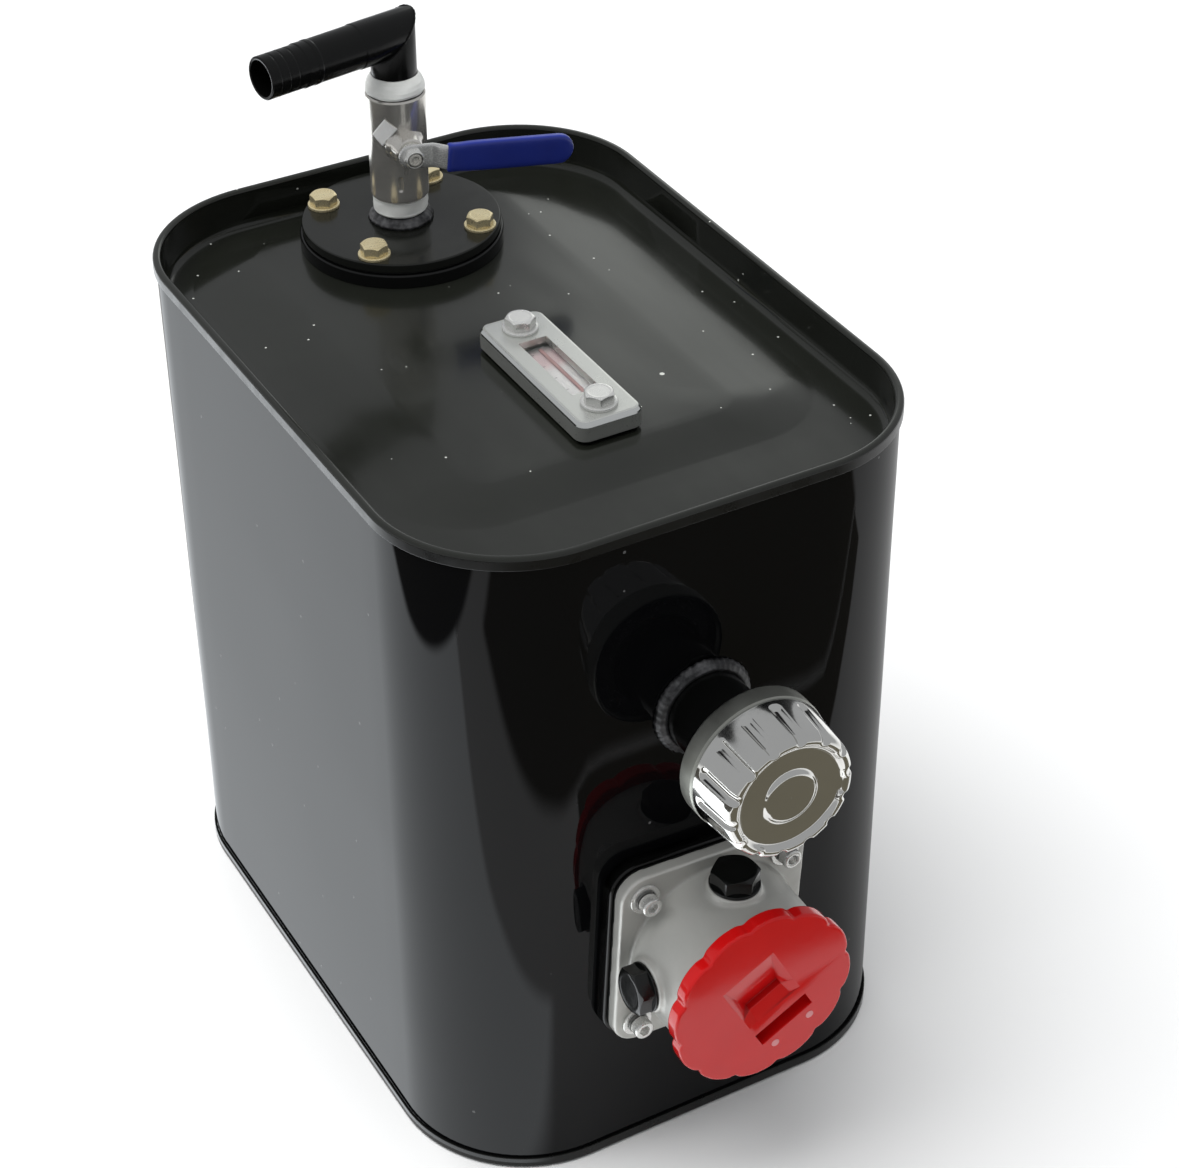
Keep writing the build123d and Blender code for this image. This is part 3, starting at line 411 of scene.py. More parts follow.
def m_mesh():
    k = Mat("woven_steel_mesh")
    a = k.n.new("ShaderNodeTexWave")
    a.inputs["Scale"].default_value = 400.0
    a.bands_direction = "Z"
    k.link(k.tc.outputs["Object"], a.inputs["Vector"])
    b = k.n.new("ShaderNodeTexWave")
    b.inputs["Scale"].default_value = 400.0
    b.bands_direction = "X"
    k.link(k.tc.outputs["Object"], b.inputs["Vector"])
    w = k.math("MAXIMUM", a.outputs["Fac"], b.outputs["Fac"])
    k.set(Base_Color=k.mix(w, (0.05, 0.05, 0.05), (0.62, 0.61, 0.58)), Metallic=1.0)
    k.set(Roughness=k.ramp(w, [(0.3, 0.6), (0.7, 0.3)]))
    k.bump(w, 0.0002, 0.6)
    return k.m


def m_label():
    k = Mat("blank_label")
    n = k.noise(900.0, 3.0, 0.6)
    k.set(Base_Color=k.mix(n, (0.74, 0.74, 0.72), (0.86, 0.86, 0.85)))
    k.set(Roughness=k.ramp(n, [(0.3, 0.45), (0.7, 0.6)]))
    k.bump(n, 0.00002, 0.3)
    return k.m


M = {
    "tank_paint": m_tank(),
    "panel_paint": m_panel(),
    "cover_paint": m_satin_black("cover_black_paint", 0.006, 0.17, 0.0, (1.0, 1.08, 0.88), 0.40),
    "fitting_paint": m_satin_black("fitting_black_paint", 0.0020, 0.20, 0.0, (1.0, 1.05, 1.0), 0.35),
    "tail_paint": m_satin_black("tail_black_paint", 0.0020, 0.22, 0.0, (1.0, 1.05, 1.0), 0.24),
    "seam_paint": m_satin_black("seam_black_paint", 0.0040, 0.29, 0.0, (1.0, 1.05, 0.95), 0.28),
    "weld_paint": m_weld(),
    "rubber": m_rubber(),
    "yellow_zinc": m_metal("yellow_zinc", (0.66, 0.54, 0.30), (0.78, 0.70, 0.46), (0.22, 0.34), 140.0, None, 0.00002, 700.0, None, 0.7),
    "bright_zinc": m_metal("bright_zinc", (0.62, 0.62, 0.60), (0.76, 0.76, 0.74), (0.18, 0.30), 120.0, None, 0.00002, 500.0, None, 0.75),
    "stainless": m_metal("turned_stainless", (0.58, 0.56, 0.52), (0.70, 0.68, 0.64), (0.15, 0.25), 60.0, (1.0, 1.0, 14.0), 0.00001, 420.0, None, 0.80),
    "plated_band": m_metal("dull_plated_band", (0.36, 0.365, 0.33), (0.46, 0.465, 0.425), (0.34, 0.5), 55.0, None, 0.00003, 800.0),
    "lever_steel": m_metal("rolled_strip", (0.56, 0.56, 0.55), (0.70, 0.70, 0.69), (0.22, 0.34), 80.0, (1.0, 1.0, 10.0), 0.00002, 400.0, None, 0.75),
    "steel_mesh": m_mesh(),
    "chrome": m_metal("bright_chrome", (0.66, 0.655, 0.63), (0.74, 0.735, 0.71), (0.05, 0.12), 40.0, None, 0.00001, 500.0),
    "gauge_metal": m_metal("satin_diecast", (0.66, 0.67, 0.635), (0.74, 0.75, 0.715), (0.26, 0.38), 60.0, None, 0.00003, 1100.0, None, 0.88),
    "gauge_edge": m_metal("polished_edge", (0.78, 0.79, 0.77), (0.86, 0.87, 0.85), (0.10, 0.18), 60.0, None, 0.00001, 900.0),
    "dull_zinc": m_metal("dull_zinc", (0.16, 0.16, 0.155), (0.26, 0.26, 0.25), (0.25, 0.38), 120.0, None, 0.00002, 500.0, None, 0.9),
    "cast_aluminium": m_cast(),
    "ptfe": m_ptfe(),
    "blue_vinyl": m_vinyl(),
    "clear_lens": m_lens(),
    "scale_white": m_scale(),
    "label": m_label(),
    "red_spirit": m_tint("dull_spirit", (0.36, 0.20, 0.20), (0.46, 0.27, 0.26), 0.3),
    "red_mark": m_tint("lighter_red_marks", (0.62, 0.20, 0.22), (0.72, 0.30, 0.31), 0.35),
    "red_plastic": m_red(),
    "black_plastic": m_plastic_black(),
    "filter_media": m_media(),
    "dark_print": m_satin_black("grey_print", 0.10, 0.5),
}

# every CAD node first takes the procedural material of its slot
SLOT_OF = {s["node"]: s["material_slot"] for s in frame["record"]["subparts"]}
for n, o in NODES.items():
    o.data.materials.clear()
    o.data.materials.append(M["fitting_paint" if n == "shell_seam_weld" else SLOT_OF[n]])

# ---------------------------------------------------------------- mesh making


def finish_mesh(name, verts, faces, mat, body, node=None, slot=None, bevel=None, bevel_angle=32, segs=3, smooth=True, weighted=True, merge=True, extra_nodes=()):
    me = bpy.data.meshes.new(name)
    me.from_pydata([tuple(p) for p in verts], [], faces)
    me.update()
    ob = bpy.data.objects.new(name, me)
    bpy.context.scene.collection.objects.link(ob)
    bm = bmesh.new()
    bm.from_mesh(me)
    if merge:
        bmesh.ops.remove_doubles(bm, verts=bm.verts, dist=2e-6)
    bmesh.ops.dissolve_degenerate(bm, edges=bm.edges, dist=1e-7)
    bmesh.ops.recalc_face_normals(bm, faces=bm.faces)
    bm.to_mesh(me)
    bm.free()
    dress(ob, mat, body, node, bevel, bevel_angle, segs, smooth, weighted, extra_nodes)
    return ob


def dress(ob, mat, body, node=None, bevel=None, bevel_angle=32, segs=3, smooth=True, weighted=True, extra_nodes=()):
    me = ob.data
    me.materials.clear()
    me.materials.append(M[mat])
    for p in me.polygons:
        p.use_smooth = smooth
    if bevel:
        b = ob.modifiers.new("edge", "BEVEL")
        b.width = bevel * MM
        b.segments = segs
        b.limit_method = "ANGLE"
        b.angle_limit = math.radians(bevel_angle)
        b.harden_normals = False
    if weighted:
        w = ob.modifiers.new("wn", "WEIGHTED_NORMAL")
        w.keep_sharp = True
        w.weight = 80
    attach(ob, body)
    names = ([node] if node else []) + list(extra_nodes)
    if names:
        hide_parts(*names)


def rings(name, loops, fr, mat, body, node=None, closed=False, cap=(True, True), **kw):
    """Skin over a list of equal-length closed loops given in local millimetres."""
    k = len(loops[0])
    verts = np.concatenate([fr(np.asarray(l, float)) for l in loops])
    faces = []
    n = len(loops)
    for i in range(n if closed else n - 1):
        a, b = i * k, ((i + 1) % n) * k
        for j in range(k):
            j2 = (j + 1) % k
            faces.append((a + j, a + j2, b + j2, b + j))
    if not closed:
        if cap[0]:
            faces.append(tuple(range(k - 1, -1, -1)))
        if cap[1]:
            faces.append(tuple((n - 1) * k + j for j in range(k)))
    return finish_mesh(name, verts, faces, mat, body, node, **kw)


def rnd(pts, closed=False, n=5):
    """Polyline whose corners are rounded where a point carries a third value."""
    out = []
    m = len(pts)
    for i, p in enumerate(pts):
        r = p[2] if len(p) > 2 else 0
        if not r or (not closed and i in (0, m - 1)):
            out.append((p[0], p[1]))
            continue
        a = np.array(pts[i - 1][:2], float)
        b = np.array(p[:2], float)
        c = np.array(pts[(i + 1) % m][:2], float)
        u, w = unit(a - b), unit(c - b)
        ang = math.acos(max(-1, min(1, float(np.dot(u, w)))))
        if ang > PI - 0.02:
            out.append(tuple(b))
            continue
        t = min(r / math.tan(ang / 2), 0.48 * np.linalg.norm(a - b), 0.48 * np.linalg.norm(c - b))
        rr_ = t * math.tan(ang / 2)
        cen = b + unit(u + w) * (rr_ / math.sin(ang / 2))
        p0, p1 = b + u * t - cen, b + w * t - cen
        a0, a1 = math.atan2(p0[1], p0[0]), math.atan2(p1[1], p1[0])
        da = (a1 - a0 + PI) % (2 * PI) - PI
        for q in range(n + 1):
            x = a0 + da * q / n
            out.append((cen[0] + rr_ * math.cos(x), cen[1] + rr_ * math.sin(x)))
    return out


def lathe(name, prof, fr, mat, body, node=None, seg=128, closed=True, mod=None, n=5, **kw):
    """Turned shape from (radius, along[, rounding]) points."""
    p = rnd(prof, closed, n)
    th = np.arange(seg) * 2 * PI / seg
    loops = []
    for r, s in p:
        rr, ss = np.full(seg, float(r)), np.full(seg, float(s))
        if mod:
            rr, ss = mod(th, rr, ss)
        loops.append(np.stack([rr * np.cos(th), rr * np.sin(th), ss], 1))
    cap = (p[0][0] > 1e-6, p[-1][0] > 1e-6)
    return rings(name, loops, fr, mat, body, node, closed=closed, cap=cap if not closed else (False, False), **kw)


def rrect(w, d, r, nc=14, ns=10):
    """Rounded rectangle loop with a fixed count of points."""
    r = max(0.01, min(r, w / 2 - 0.01, d / 2 - 0.01))
    out = []
    cs = ((w / 2 - r, d / 2 - r, 0), (-(w / 2 - r), d / 2 - r, 90), (-(w / 2 - r), -(d / 2 - r), 180), (w / 2 - r, -(d / 2 - r), 270))
    for i, (cx, cy, a0) in enumerate(cs):
        for q in range(nc + 1):
            a = math.radians(a0 + 90 * q / nc)
            out.append((cx + r * math.cos(a), cy + r * math.sin(a)))
        nx, ny, na = cs[(i + 1) % 4]
        a = math.radians(na)
        p0 = np.array(out[-1])
        p1 = np.array((nx + r * math.cos(a), ny + r * math.sin(a)))
        for q in range(1, ns):
            out.append(tuple(p0 + (p1 - p0) * q / ns))
    return np.array(out)


def rr_loft(name, secs, fr, mat, body, node=None, closed=False, cap=(True, True), nc=14, ns=10, warp=None, **kw):
    """Loft through rounded rectangles (w, d, r, z[, cx, cy])."""
    loops = []
    for s in secs:
        w, d, r, z = s[:4]
        cx, cy = (s[4], s[5]) if len(s) > 4 else (0, 0)
        xy = rrect(w, d, r, nc, ns) + np.array((cx, cy))
        p = np.concatenate([xy, np.full((len(xy), 1), float(z))], 1)
        if warp:
            p = warp(p)
        loops.append(p)
    return rings(name, loops, fr, mat, body, node, closed=closed, cap=cap, **kw)


def prof_to_secs(w, d, r, prof):
    """(outward offset, z) profile to rounded rectangle sections."""
    return [(w + 2 * o, d + 2 * o, r + o, z) for o, z in prof]


def boolean(ob, cutters, op="DIFFERENCE"):
    for c in cutters:
        m = ob.modifiers.new("cut", "BOOLEAN")
        m.operation = op
        m.solver = "EXACT"
        m.object = c
        # booleans come before edges and normals
        while ob.modifiers.find(m.name) > 0:
            bpy.context.view_layer.objects.active = ob
            with bpy.context.temp_override(object=ob):
                bpy.ops.object.modifier_move_to_index(modifier=m.name, index=0)
        dg = bpy.context.evaluated_depsgraph_get()
        others = [(q, q.show_viewport) for q in ob.modifiers if q != m]
        for q, _ in others:
            q.show_viewport = False
        dg = bpy.context.evaluated_depsgraph_get()
        dg.update()
        new = bpy.data.meshes.new_from_object(ob.evaluated_get(dg))
        ob.modifiers.remove(m)
        ob.data = new
        for q, s in others:
            q.show_viewport = s
        bpy.data.objects.remove(c)
    for p in ob.data.polygons:
        p.use_smooth = True


def solid_cyl(fr, r, z0, z1, seg=96, r1=None):
    """Plain closed cutter, not linked to any body."""
    th = np.arange(seg) * 2 * PI / seg
    r1 = r if r1 is None else r1
    lo = fr(np.stack([r * np.cos(th), r * np.sin(th), np.full(seg, z0)], 1))
    hi = fr(np.stack([r1 * np.cos(th), r1 * np.sin(th), np.full(seg, z1)], 1))
    me = bpy.data.meshes.new("cutter")
    faces = [(j, (j + 1) % seg, seg + (j + 1) % seg, seg + j) for j in range(seg)]
    faces += [tuple(range(seg - 1, -1, -1)), tuple(range(seg, 2 * seg))]
    me.from_pydata([tuple(p) for p in np.concatenate([lo, hi])], [], faces)
    bm = bmesh.new()
    bm.from_mesh(me)
    bmesh.ops.recalc_face_normals(bm, faces=bm.faces)
    bm.to_mesh(me)
    bm.free()
    ob = bpy.data.objects.new("cutter", me)
    bpy.context.scene.collection.objects.link(ob)
    return ob


def solid_poly(fr, pts, z0, z1):
    """Closed prism cutter from a 2-D outline."""
    k = len(pts)
    lo = fr(np.array([(x, y, z0) for x, y in pts]))
    hi = fr(np.array([(x, y, z1) for x, y in pts]))
    me = bpy.data.meshes.new("cutter")
    faces = [(j, (j + 1) % k, k + (j + 1) % k, k + j) for j in range(k)]
    faces += [tuple(range(k - 1, -1, -1)), tuple(range(k, 2 * k))]
    me.from_pydata([tuple(p) for p in np.concatenate([lo, hi])], [], faces)
    bm = bmesh.new()
    bm.from_mesh(me)
    bmesh.ops.recalc_face_normals(bm, faces=bm.faces)
    bm.to_mesh(me)
    bm.free()
    ob = bpy.data.objects.new("cutter", me)
    bpy.context.scene.collection.objects.link(ob)
    return ob


def hex_r(th, af, soft=0.985):
    a = (th % (PI / 3)) - PI / 6
    r = af / 2 / np.cos(a)
    return np.minimum(r, af / 2 / math.cos(PI / 6) * soft)


def hex_loop(af, z, seg=96, soft=0.985, scale=1.0):
    th = np.arange(seg) * 2 * PI / seg
    r = hex_r(th, af, soft) * scale
    return np.stack([r * np.cos(th), r * np.sin(th), np.full(seg, float(z))], 1)


def circ_loop(r, z, seg=96):
    th = np.arange(seg) * 2 * PI / seg
    return np.stack([r * np.cos(th), r * np.sin(th), np.full(seg, float(z))], 1)


def hex_head(af, z0, z1, chamfer=0.95, dish=0.0, hole=None, seg=96):
    """Loops of a chamfered hexagon head, from its underside to the middle of its top."""
    th = np.arange(seg) * 2 * PI / seg
    r = hex_r(th, af)
    rc = af / 2 * chamfer
    top = z1 - np.maximum(0, r - rc) * math.tan(math.radians(30))
    out = [hex_loop(af, z0, seg)]
    out.append(np.stack([r * np.cos(th), r * np.sin(th), top], 1))
    out.append(circ_loop(rc, z1, seg))
    if dish:
        out.append(circ_loop(rc * 0.84, z1, seg))
        out.append(circ_loop(rc * 0.74, z1 - dish, seg))
    return out


# ------------------------------------------------------------------ the tank
def shell_warp(p):
    """Slight waviness of rolled sheet."""
    q = p.copy()
    n = len(p)
    for i in range(n):
        x, y, z = p[i]
        a = noise.noise(Vector((x * 0.006, y * 0.006, z * 0.006 + 3.0)))
        b = noise.noise(Vector((x * 0.017, y * 0.017, z * 0.012 + 9.0)))
        k = -abs(0.45 * a + 0.12 * b)
        fade = min(1.0, max(0.0, (z - 8) / 40), max(0.0, (H - 8 - z) / 40))
        cx, cy = W / 2 - INSET, D / 2 - INSET
        f = max(0, 1 - ((abs(x) / cx) ** 8) * ((abs(y) / cy) ** 8))
        # near the ports the wall stays flat
        if y < -cy + 2:
            dx, dz = x + 6, z - 200
            f *= min(1.0, max(0.0, (math.hypot(dx, dz * 0.62) - 75) / 40))
        nx, ny = (math.copysign(1, x), 0) if abs(abs(x) - cx) < abs(abs(y) - cy) else (0, math.copysign(1, y))
        q[i, 0] += nx * k * fade * f
        q[i, 1] += ny * k * fade * f
    return q


ow, od, orr = W - 2 * INSET, D - 2 * INSET, R_RIM - INSET
zs = [3.0, 6.0, 9.0, 14.0] + [14.0 + (376.0 - 14.0) * i / 26 for i in range(1, 27)] + [381.0, 384.0, 387.0]
outer = [(ow, od, orr, z) for z in zs]
inner = [(ow - 2 * T, od - 2 * T, orr - T, z) for z in reversed(zs)]
shell = rr_loft("tank_shell_sheet", outer + inner, TOP, "tank_paint", "tank", "tank_shell", closed=True, nc=26, ns=14, warp=shell_warp, weighted=False)
boolean(shell, [solid_cyl(BRE, 21.45, 150, 210), solid_cyl(FIL, 41.9, 150, 215)])

# end panels: rolled seam, upstand, rounded pan corner, margin, gentle slope, raised middle


def panel(name, node, up):
    fr = TOP if up == 1 else Fr((0, Y0, H), (-1, 0, 0), (0, 0, -1))
    secs = []
    # seam, from its lower outside lip over the crest and down the inside
    for o, z in rnd([(-1.45, 383.4), (0.0, 383.0, 0.5), (0.0, 390.0, 1.9), (-4.5, 390.0, 1.9), (-4.5, 372.0)], n=7)[0:]:
        secs.append((W + 2 * o, D + 2 * o, R_RIM + o, z))
    # upstand into the pan
    for o, z in rnd([(-4.5, 378.0), (-4.5, PAN, 8.0), (-20.0, PAN)], n=10)[1:]:
        secs.append((W + 2 * o, D + 2 * o, R_RIM + o, z))
    o1 = (236.0, 303.0, 48.0, 0.0, 20.5)
    o2 = (147.0, 261.0, 15.0, -1.5, 29.5)
    w0, d0, r0 = secs[-1][0], secs[-1][1], secs[-1][2]
    for t in (0.35, 0.7):
        secs.append((w0 + (o1[0] - w0) * t, d0 + (o1[1] - d0) * t, r0 + (o1[2] - r0) * t, PAN, o1[3] * t, o1[4] * t))
    m = 16
    for i in range(m + 1):
        t = i / m
        # soft foot, straight flank, crisp crest
        zz = PAN + 3.5 * (t * t * (3 - 2 * t) * 0.35 + t * 0.65)
        secs.append((o1[0] + (o2[0] - o1[0]) * t, o1[1] + (o2[1] - o1[1]) * t, o1[2] + (o2[2] - o1[2]) * t, zz, o1[3] + (o2[3] - o1[3]) * t, o1[4] + (o2[4] - o1[4]) * t))
    for i in range(1, 15):
        t = i / 15
        secs.append((o2[0] * (1 - t) + 1.0 * t, o2[1] - (o2[0] - 1.0) * t, o2[2] * (1 - t) + 0.3, SEAT, o2[3], o2[4]))

    def warp(p):
        q = p.copy()
        for i in range(len(p)):
            x, y, z = p[i]
            if z > 371.0:
                continue
            f = min(1.0, max(0.0, (W / 2 - 14 - abs(x)) / 20), max(0.0, (D / 2 - 14 - abs(y)) / 20))
            dg = math.hypot((x - GX) / 26.0, (y - GY) / 62.0)
            ds = math.hypot(x - SX, y - SY) / 62.0
            f *= min(1.0, max(0.0, dg - 1.0)) if up == 1 else 1.0
            f *= min(1.0, max(0.0, (ds - 1.0) * 4)) if up == 1 else 1.0
            a = noise.noise(Vector((x * 0.011, y * 0.009, 5.0 * up)))
            b = noise.noise(Vector((x * 0.030, y * 0.024, 8.0 * up)))
            q[i, 2] -= abs(0.9 * a + 0.25 * b) * f
        return q

    ob = rr_loft(name, secs, fr, "panel_paint", "tank", node, cap=(False, True), nc=22, ns=12, warp=warp, weighted=True)
    ob.data.materials.append(M["seam_paint"])
    for p in ob.data.polygons:
        h = p.center.z * 1000 if up == 1 else H - p.center.z * 1000
        if 382.8 < h < 388.4:
            p.material_index = 1
    return ob


panel("top_panel_pressing", "top_panel", 1)
panel("bottom_panel_pressing", "bottom_panel", -1)

# -------------------------------------------------- suction cover and valve
RNG = np.random.default_rng(7)


def weld_mod(amp, count, seed, lo, hi):
    """Ripples and unevenness of a hand-laid bead."""
    rng = np.random.default_rng(seed)
    ph = rng.uniform(0, 2 * PI, 4)

    def f(th, r, s):
        wob = 0.5 * np.sin(3 * th + ph[0]) + 0.35 * np.sin(7 * th + ph[1]) + 0.3 * np.sin(11 * th + ph[2])
        rip = np.abs(np.sin(count * th / 2 + 0.6 * np.sin(5 * th + ph[3])))
        k = np.clip((r - lo) / (hi - lo), 0, 1) * 0.6 + 0.4
        return r + amp * (wob * 0.5 - 0.8 * rip) * k, s
    return f


lathe("suction_spigot_ring_turned", [(38, 370.5), (54.5, 370.5, 0.4), (54.5, 378.0, 1.2), (38, 378.0)], STACK, "fitting_paint", "tank", "suction_spigot_ring", seg=160)
lathe("suction_gasket_sheet", [(36, 378.05), (52.2, 378.05, 0.2), (52.2, 378.95, 0.2), (36, 378.95)], STACK, "rubber", "tank", "suction_gasket", seg=128)
lathe("suction_cover_plate", [(12.0, 379.0), (53.2, 379.0, 0.5), (53.2, 384.0, 0.9), (12.0, 384.0)], STACK, "cover_paint", "tank", "suction_cover", seg=180)


def joined(name, build, places, mat, body, node, **kw):
    """Several equal shapes in one piece: build(fr) gives (loops, closed, cap) lists."""
    verts, faces = [], []
    for fr, salt in places:
        for loops, closed, cap in build(fr, salt):
            base = sum(len(v) for v in verts)
            k, n = len(loops[0]), len(loops)
            verts.append(np.concatenate([fr(np.asarray(l, float)) for l in loops]))
            for i in range(n if closed else n - 1):
                a, b = base + i * k, base + ((i + 1) % n) * k
                for j in range(k):
                    j2 = (j + 1) % k
                    faces.append((a + j, a + j2, b + j2, b + j))
            if not closed:
                if cap[0]:
                    faces.append(tuple(base + q for q in range(k - 1, -1, -1)))
                if cap[1]:
                    faces.append(tuple(base + (n - 1) * k + q for q in range(k)))
    return finish_mesh(name, np.concatenate(verts), faces, mat, body, node, **kw)


def loops_of(prof, seg=96, closed=True, n=4):
    return [circ_loop(r, s, seg) for r, s in rnd(prof, closed, n)]


bolt_at = [(STACK.at(44 * math.cos(math.radians(a)), 44 * math.sin(math.radians(a))).turned(t), i) for i, (a, t) in enumerate(((45, 12), (135, 31), (225, 22), (315, 49)))]
joined("suction_cover_washers_turned", lambda f, s: [(loops_of([(4.2, 384.0), (8.6, 384.0, 0.2), (8.6, 385.6, 0.45), (4.2, 385.6)]), True, None)], bolt_at, "yellow_zinc", "tank", "suction_cover_washers")
joined("suction_cover_bolts_hex", lambda f, s: [(hex_head(13.0, 385.6, 391.0, 0.94, 0.25), False, (True, True)), (loops_of([(0.01, 371.5), (4.0, 371.5), (4.0, 385.7), (0.01, 385.7)], 48, False), False, (False, False))], bolt_at, "yellow_zinc", "tank", "suction_cover_bolts", bevel=0.18, segs=2)
lathe("suction_nipple_pipe", [(9.5, 345, 0.3), (12, 345, 0.4), (12, 411, 0.3), (9.5, 411, 0.3)], STACK, "fitting_paint", "tank", "suction_nipple", seg=96)
lathe("nipple_weld_bead", [(12.0, 384.0), (17.6, 384.0), (17.3, 385.6, 1.2), (16.2, 387.2, 1.2), (14.4, 388.4, 0.8), (13.6, 389.0, 0.3), (12.0, 389.0)], STACK, "weld_paint", "tank", "nipple_weld", seg=200, mod=weld_mod(0.55, 26, 3, 12.0, 17.0), n=4)
joined("strainer_ends_moulded", lambda f, s: [(loops_of([(12.05, 340), (30, 340, 0.8), (30, 348, 0.8), (20.5, 348)]), False, (False, False)), (hex_head(36, 348, 357, 0.96), False, (False, False)), ([circ_loop(36 / 2 * 0.96, 357), circ_loop(12.05, 357), circ_loop(12.05, 340)], False, (False, False)), (loops_of([(0.01, 250), (30, 250, 0.8), (30, 256, 0.8), (0.01, 256)], 96, False), False, (False, False))], [(STACK, 0)], "black_plastic", "tank", "strainer_ends")


def pleat(count, amp):
    def f(th, r, s):
        return r + amp * np.cos(count * th), s
    return f


lathe("strainer_screen_pleats", [(25.6, 256.2), (27.3, 256.2), (27.3, 339.8), (25.6, 339.8)], STACK, "steel_mesh", "tank", "strainer_screen", seg=480, mod=pleat(40, 1.0))


def tape_mod(seed, amp=0.16):
    rng = np.random.default_rng(seed)
    ph = rng.uniform(0, 2 * PI, 6)

    def f(th, r, s):
        w = np.sin(2 * th + ph[0] + s * 0.3) + 0.6 * np.sin(5 * th + ph[1] - s * 0.8) + 0.35 * np.sin(9 * th + ph[2] + s * 1.7)
        return r + amp * w * (r > 12.3), s + 0.10 * np.sin(4 * th + ph[3]) * (r > 12.3)
    return f


lathe("lower_thread_seal_tape", [(12.0, 389.55), (13.9, 389.6, 0.3), (14.45, 390.6, 0.4), (14.35, 392.0), (14.55, 394.0), (14.4, 396.0), (14.6, 397.6, 0.3), (14.75, 398.4, 0.2), (12.0, 398.45)], STACK, "ptfe", "tank", "lower_thread_seal", seg=128, mod=tape_mod(1), n=4)
lathe("upper_thread_seal_tape", [(12.0, 458.35), (15.1, 458.4, 0.3), (15.55, 459.8, 0.5), (15.2, 462.0, 1.0), (14.3, 464.6, 1.0), (13.1, 466.8, 0.8), (12.5, 467.9, 0.3), (12.0, 468.1)], STACK, "ptfe", "tank", "upper_thread_seal", seg=128, mod=tape_mod(2, 0.2), n=4)

# valve body: turned barrel with a flow mark pressed in low down, and a boss


def mark_mod(th, r, s):
    a = math.radians(247)
    d = ((th - a + PI) % (2 * PI) - PI) * 15.5
    lo, hi, w = 407.2, 413.6, 1.15
    sc = np.clip(s, lo, hi)
    dist = np.hypot(d, (s - sc)) - w
    push = np.clip(-dist / 0.5, 0, 1)
    return np.where(r > 14.8, r - 0.75 * push, r), s


prof = [(12.0, 398.6, 0.2), (14.7, 398.6, 0.3), (15.35, 399.4, 0.3)]
prof += [(15.4 + (q - 400) * 0.0035, q) for q in np.arange(401.0, 418.0, 0.4)]
prof += [(15.48, 424.0), (15.55, 430.0), (15.68, 440.0), (15.82, 455.0), (15.85, 456.8, 0.4), (15.3, 457.8, 0.3), (13.2, 458.0), (13.2, 418.0), (9.6, 418.0), (9.6, 411.0), (12.0, 411.0)]
body_ob = lathe("valve_body_turned", prof, STACK, "stainless", "tank", "valve_body", seg=320, mod=mark_mod, n=3)
# boss, blended into the barrel with a flared foot
boss = [(0.01, 12.0), (10.6, 12.6), (9.9, 13.6), (9.2, 14.6), (8.7, 15.8), (8.3, 17.6), (7.9, 20.0), (7.5, 22.6, 0.6), (6.6, 23.5, 0.4), (5.6, 23.5), (5.6, 18.5), (4.05, 18.5), (4.05, 12.0)]
boss_ob = lathe("valve_boss_flare", boss, STEM, "stainless", "tank", None, seg=128, closed=False, n=4)
lathe("valve_insert_ring", [(9.0, 446.5), (13.15, 446.5), (13.15, 458.0, 0.3), (12.05, 458.0), (12.05, 450.5), (9.0, 450.5)], STACK, "stainless", "tank", "valve_insert", seg=96)
lathe("gland_nut_turned", [(4.05, 24.3), (6.1, 24.3, 0.3), (6.1, 26.0, 0.3), (4.05, 26.0)], STEM, "bright_zinc", "tank", "gland_nut", seg=6 * 12, slot="stainless")
lathe("valve_stem_turned", [(0.01, 13.6), (4.0, 13.6), (4.0, 31.6), (3.4, 32.5, 0.3), (2.0, 32.5, 0.1), (1.6, 31.7, 0.1), (0.01, 31.7)], STEM, "stainless", "lever_arm", "valve_stem", seg=64, closed=False)

# small blank label wrapped on the barrel
lab = []
Rl = 15.80
for i in range(13):
    for j in range(21):
        u = (i / 12 - 0.5) * 8.4
        w = (j / 20 - 0.5) * 13.6
        ca, sa = math.cos(math.radians(38)), math.sin(math.radians(38))
        du, dz = u * ca + w * sa, -u * sa + w * ca
        a = math.radians(219) + du / Rl
        lift = 0.10 + 0.35 * max(0.0, (w / 6.8)) ** 6
        lab.append(((Rl + lift) * math.cos(a), (Rl + lift) * math.sin(a), 440.5 + dz))
lf = [(i * 21 + j, (i + 1) * 21 + j, (i + 1) * 21 + j + 1, i * 21 + j + 1) for i in range(12) for j in range(20)]
label = finish_mesh("valve_blank_label", STACK(np.array(lab)), lf, "label", "tank", None, slot="ptfe", weighted=False)
sol = label.modifiers.new("thick", "SOLIDIFY")
sol.thickness = 0.00012

# lever: a cranked strip and its dipped grip


def lever_d(h):
    """Distance of the strip's inner face out along the stem, at h along the lever."""
    t = min(1.0, max(0.0, (h - 10.0) / 9.0))
    t = t * t * (3 - 2 * t)
    return 26.4 + 4.6 * t


def strip(name, stations, half_t, fr, mat, body, node, k=48, **kw):
    """Skin over (h, half width, mid d, half thickness) stations with rounded edges."""
    loops = []
    for h, hw, dm, ht in stations:
        th = np.arange(k) * 2 * PI / k
        c, s = np.cos(th), np.sin(th)
        n = 5.0
        den = (np.abs(c) ** n + np.abs(s) ** n) ** (1 / n)
        loops.append(np.stack([np.full(k, h), hw * c / den, dm + ht * s / den], 1))
    return rings(name, loops, fr, mat, body, node, **kw)


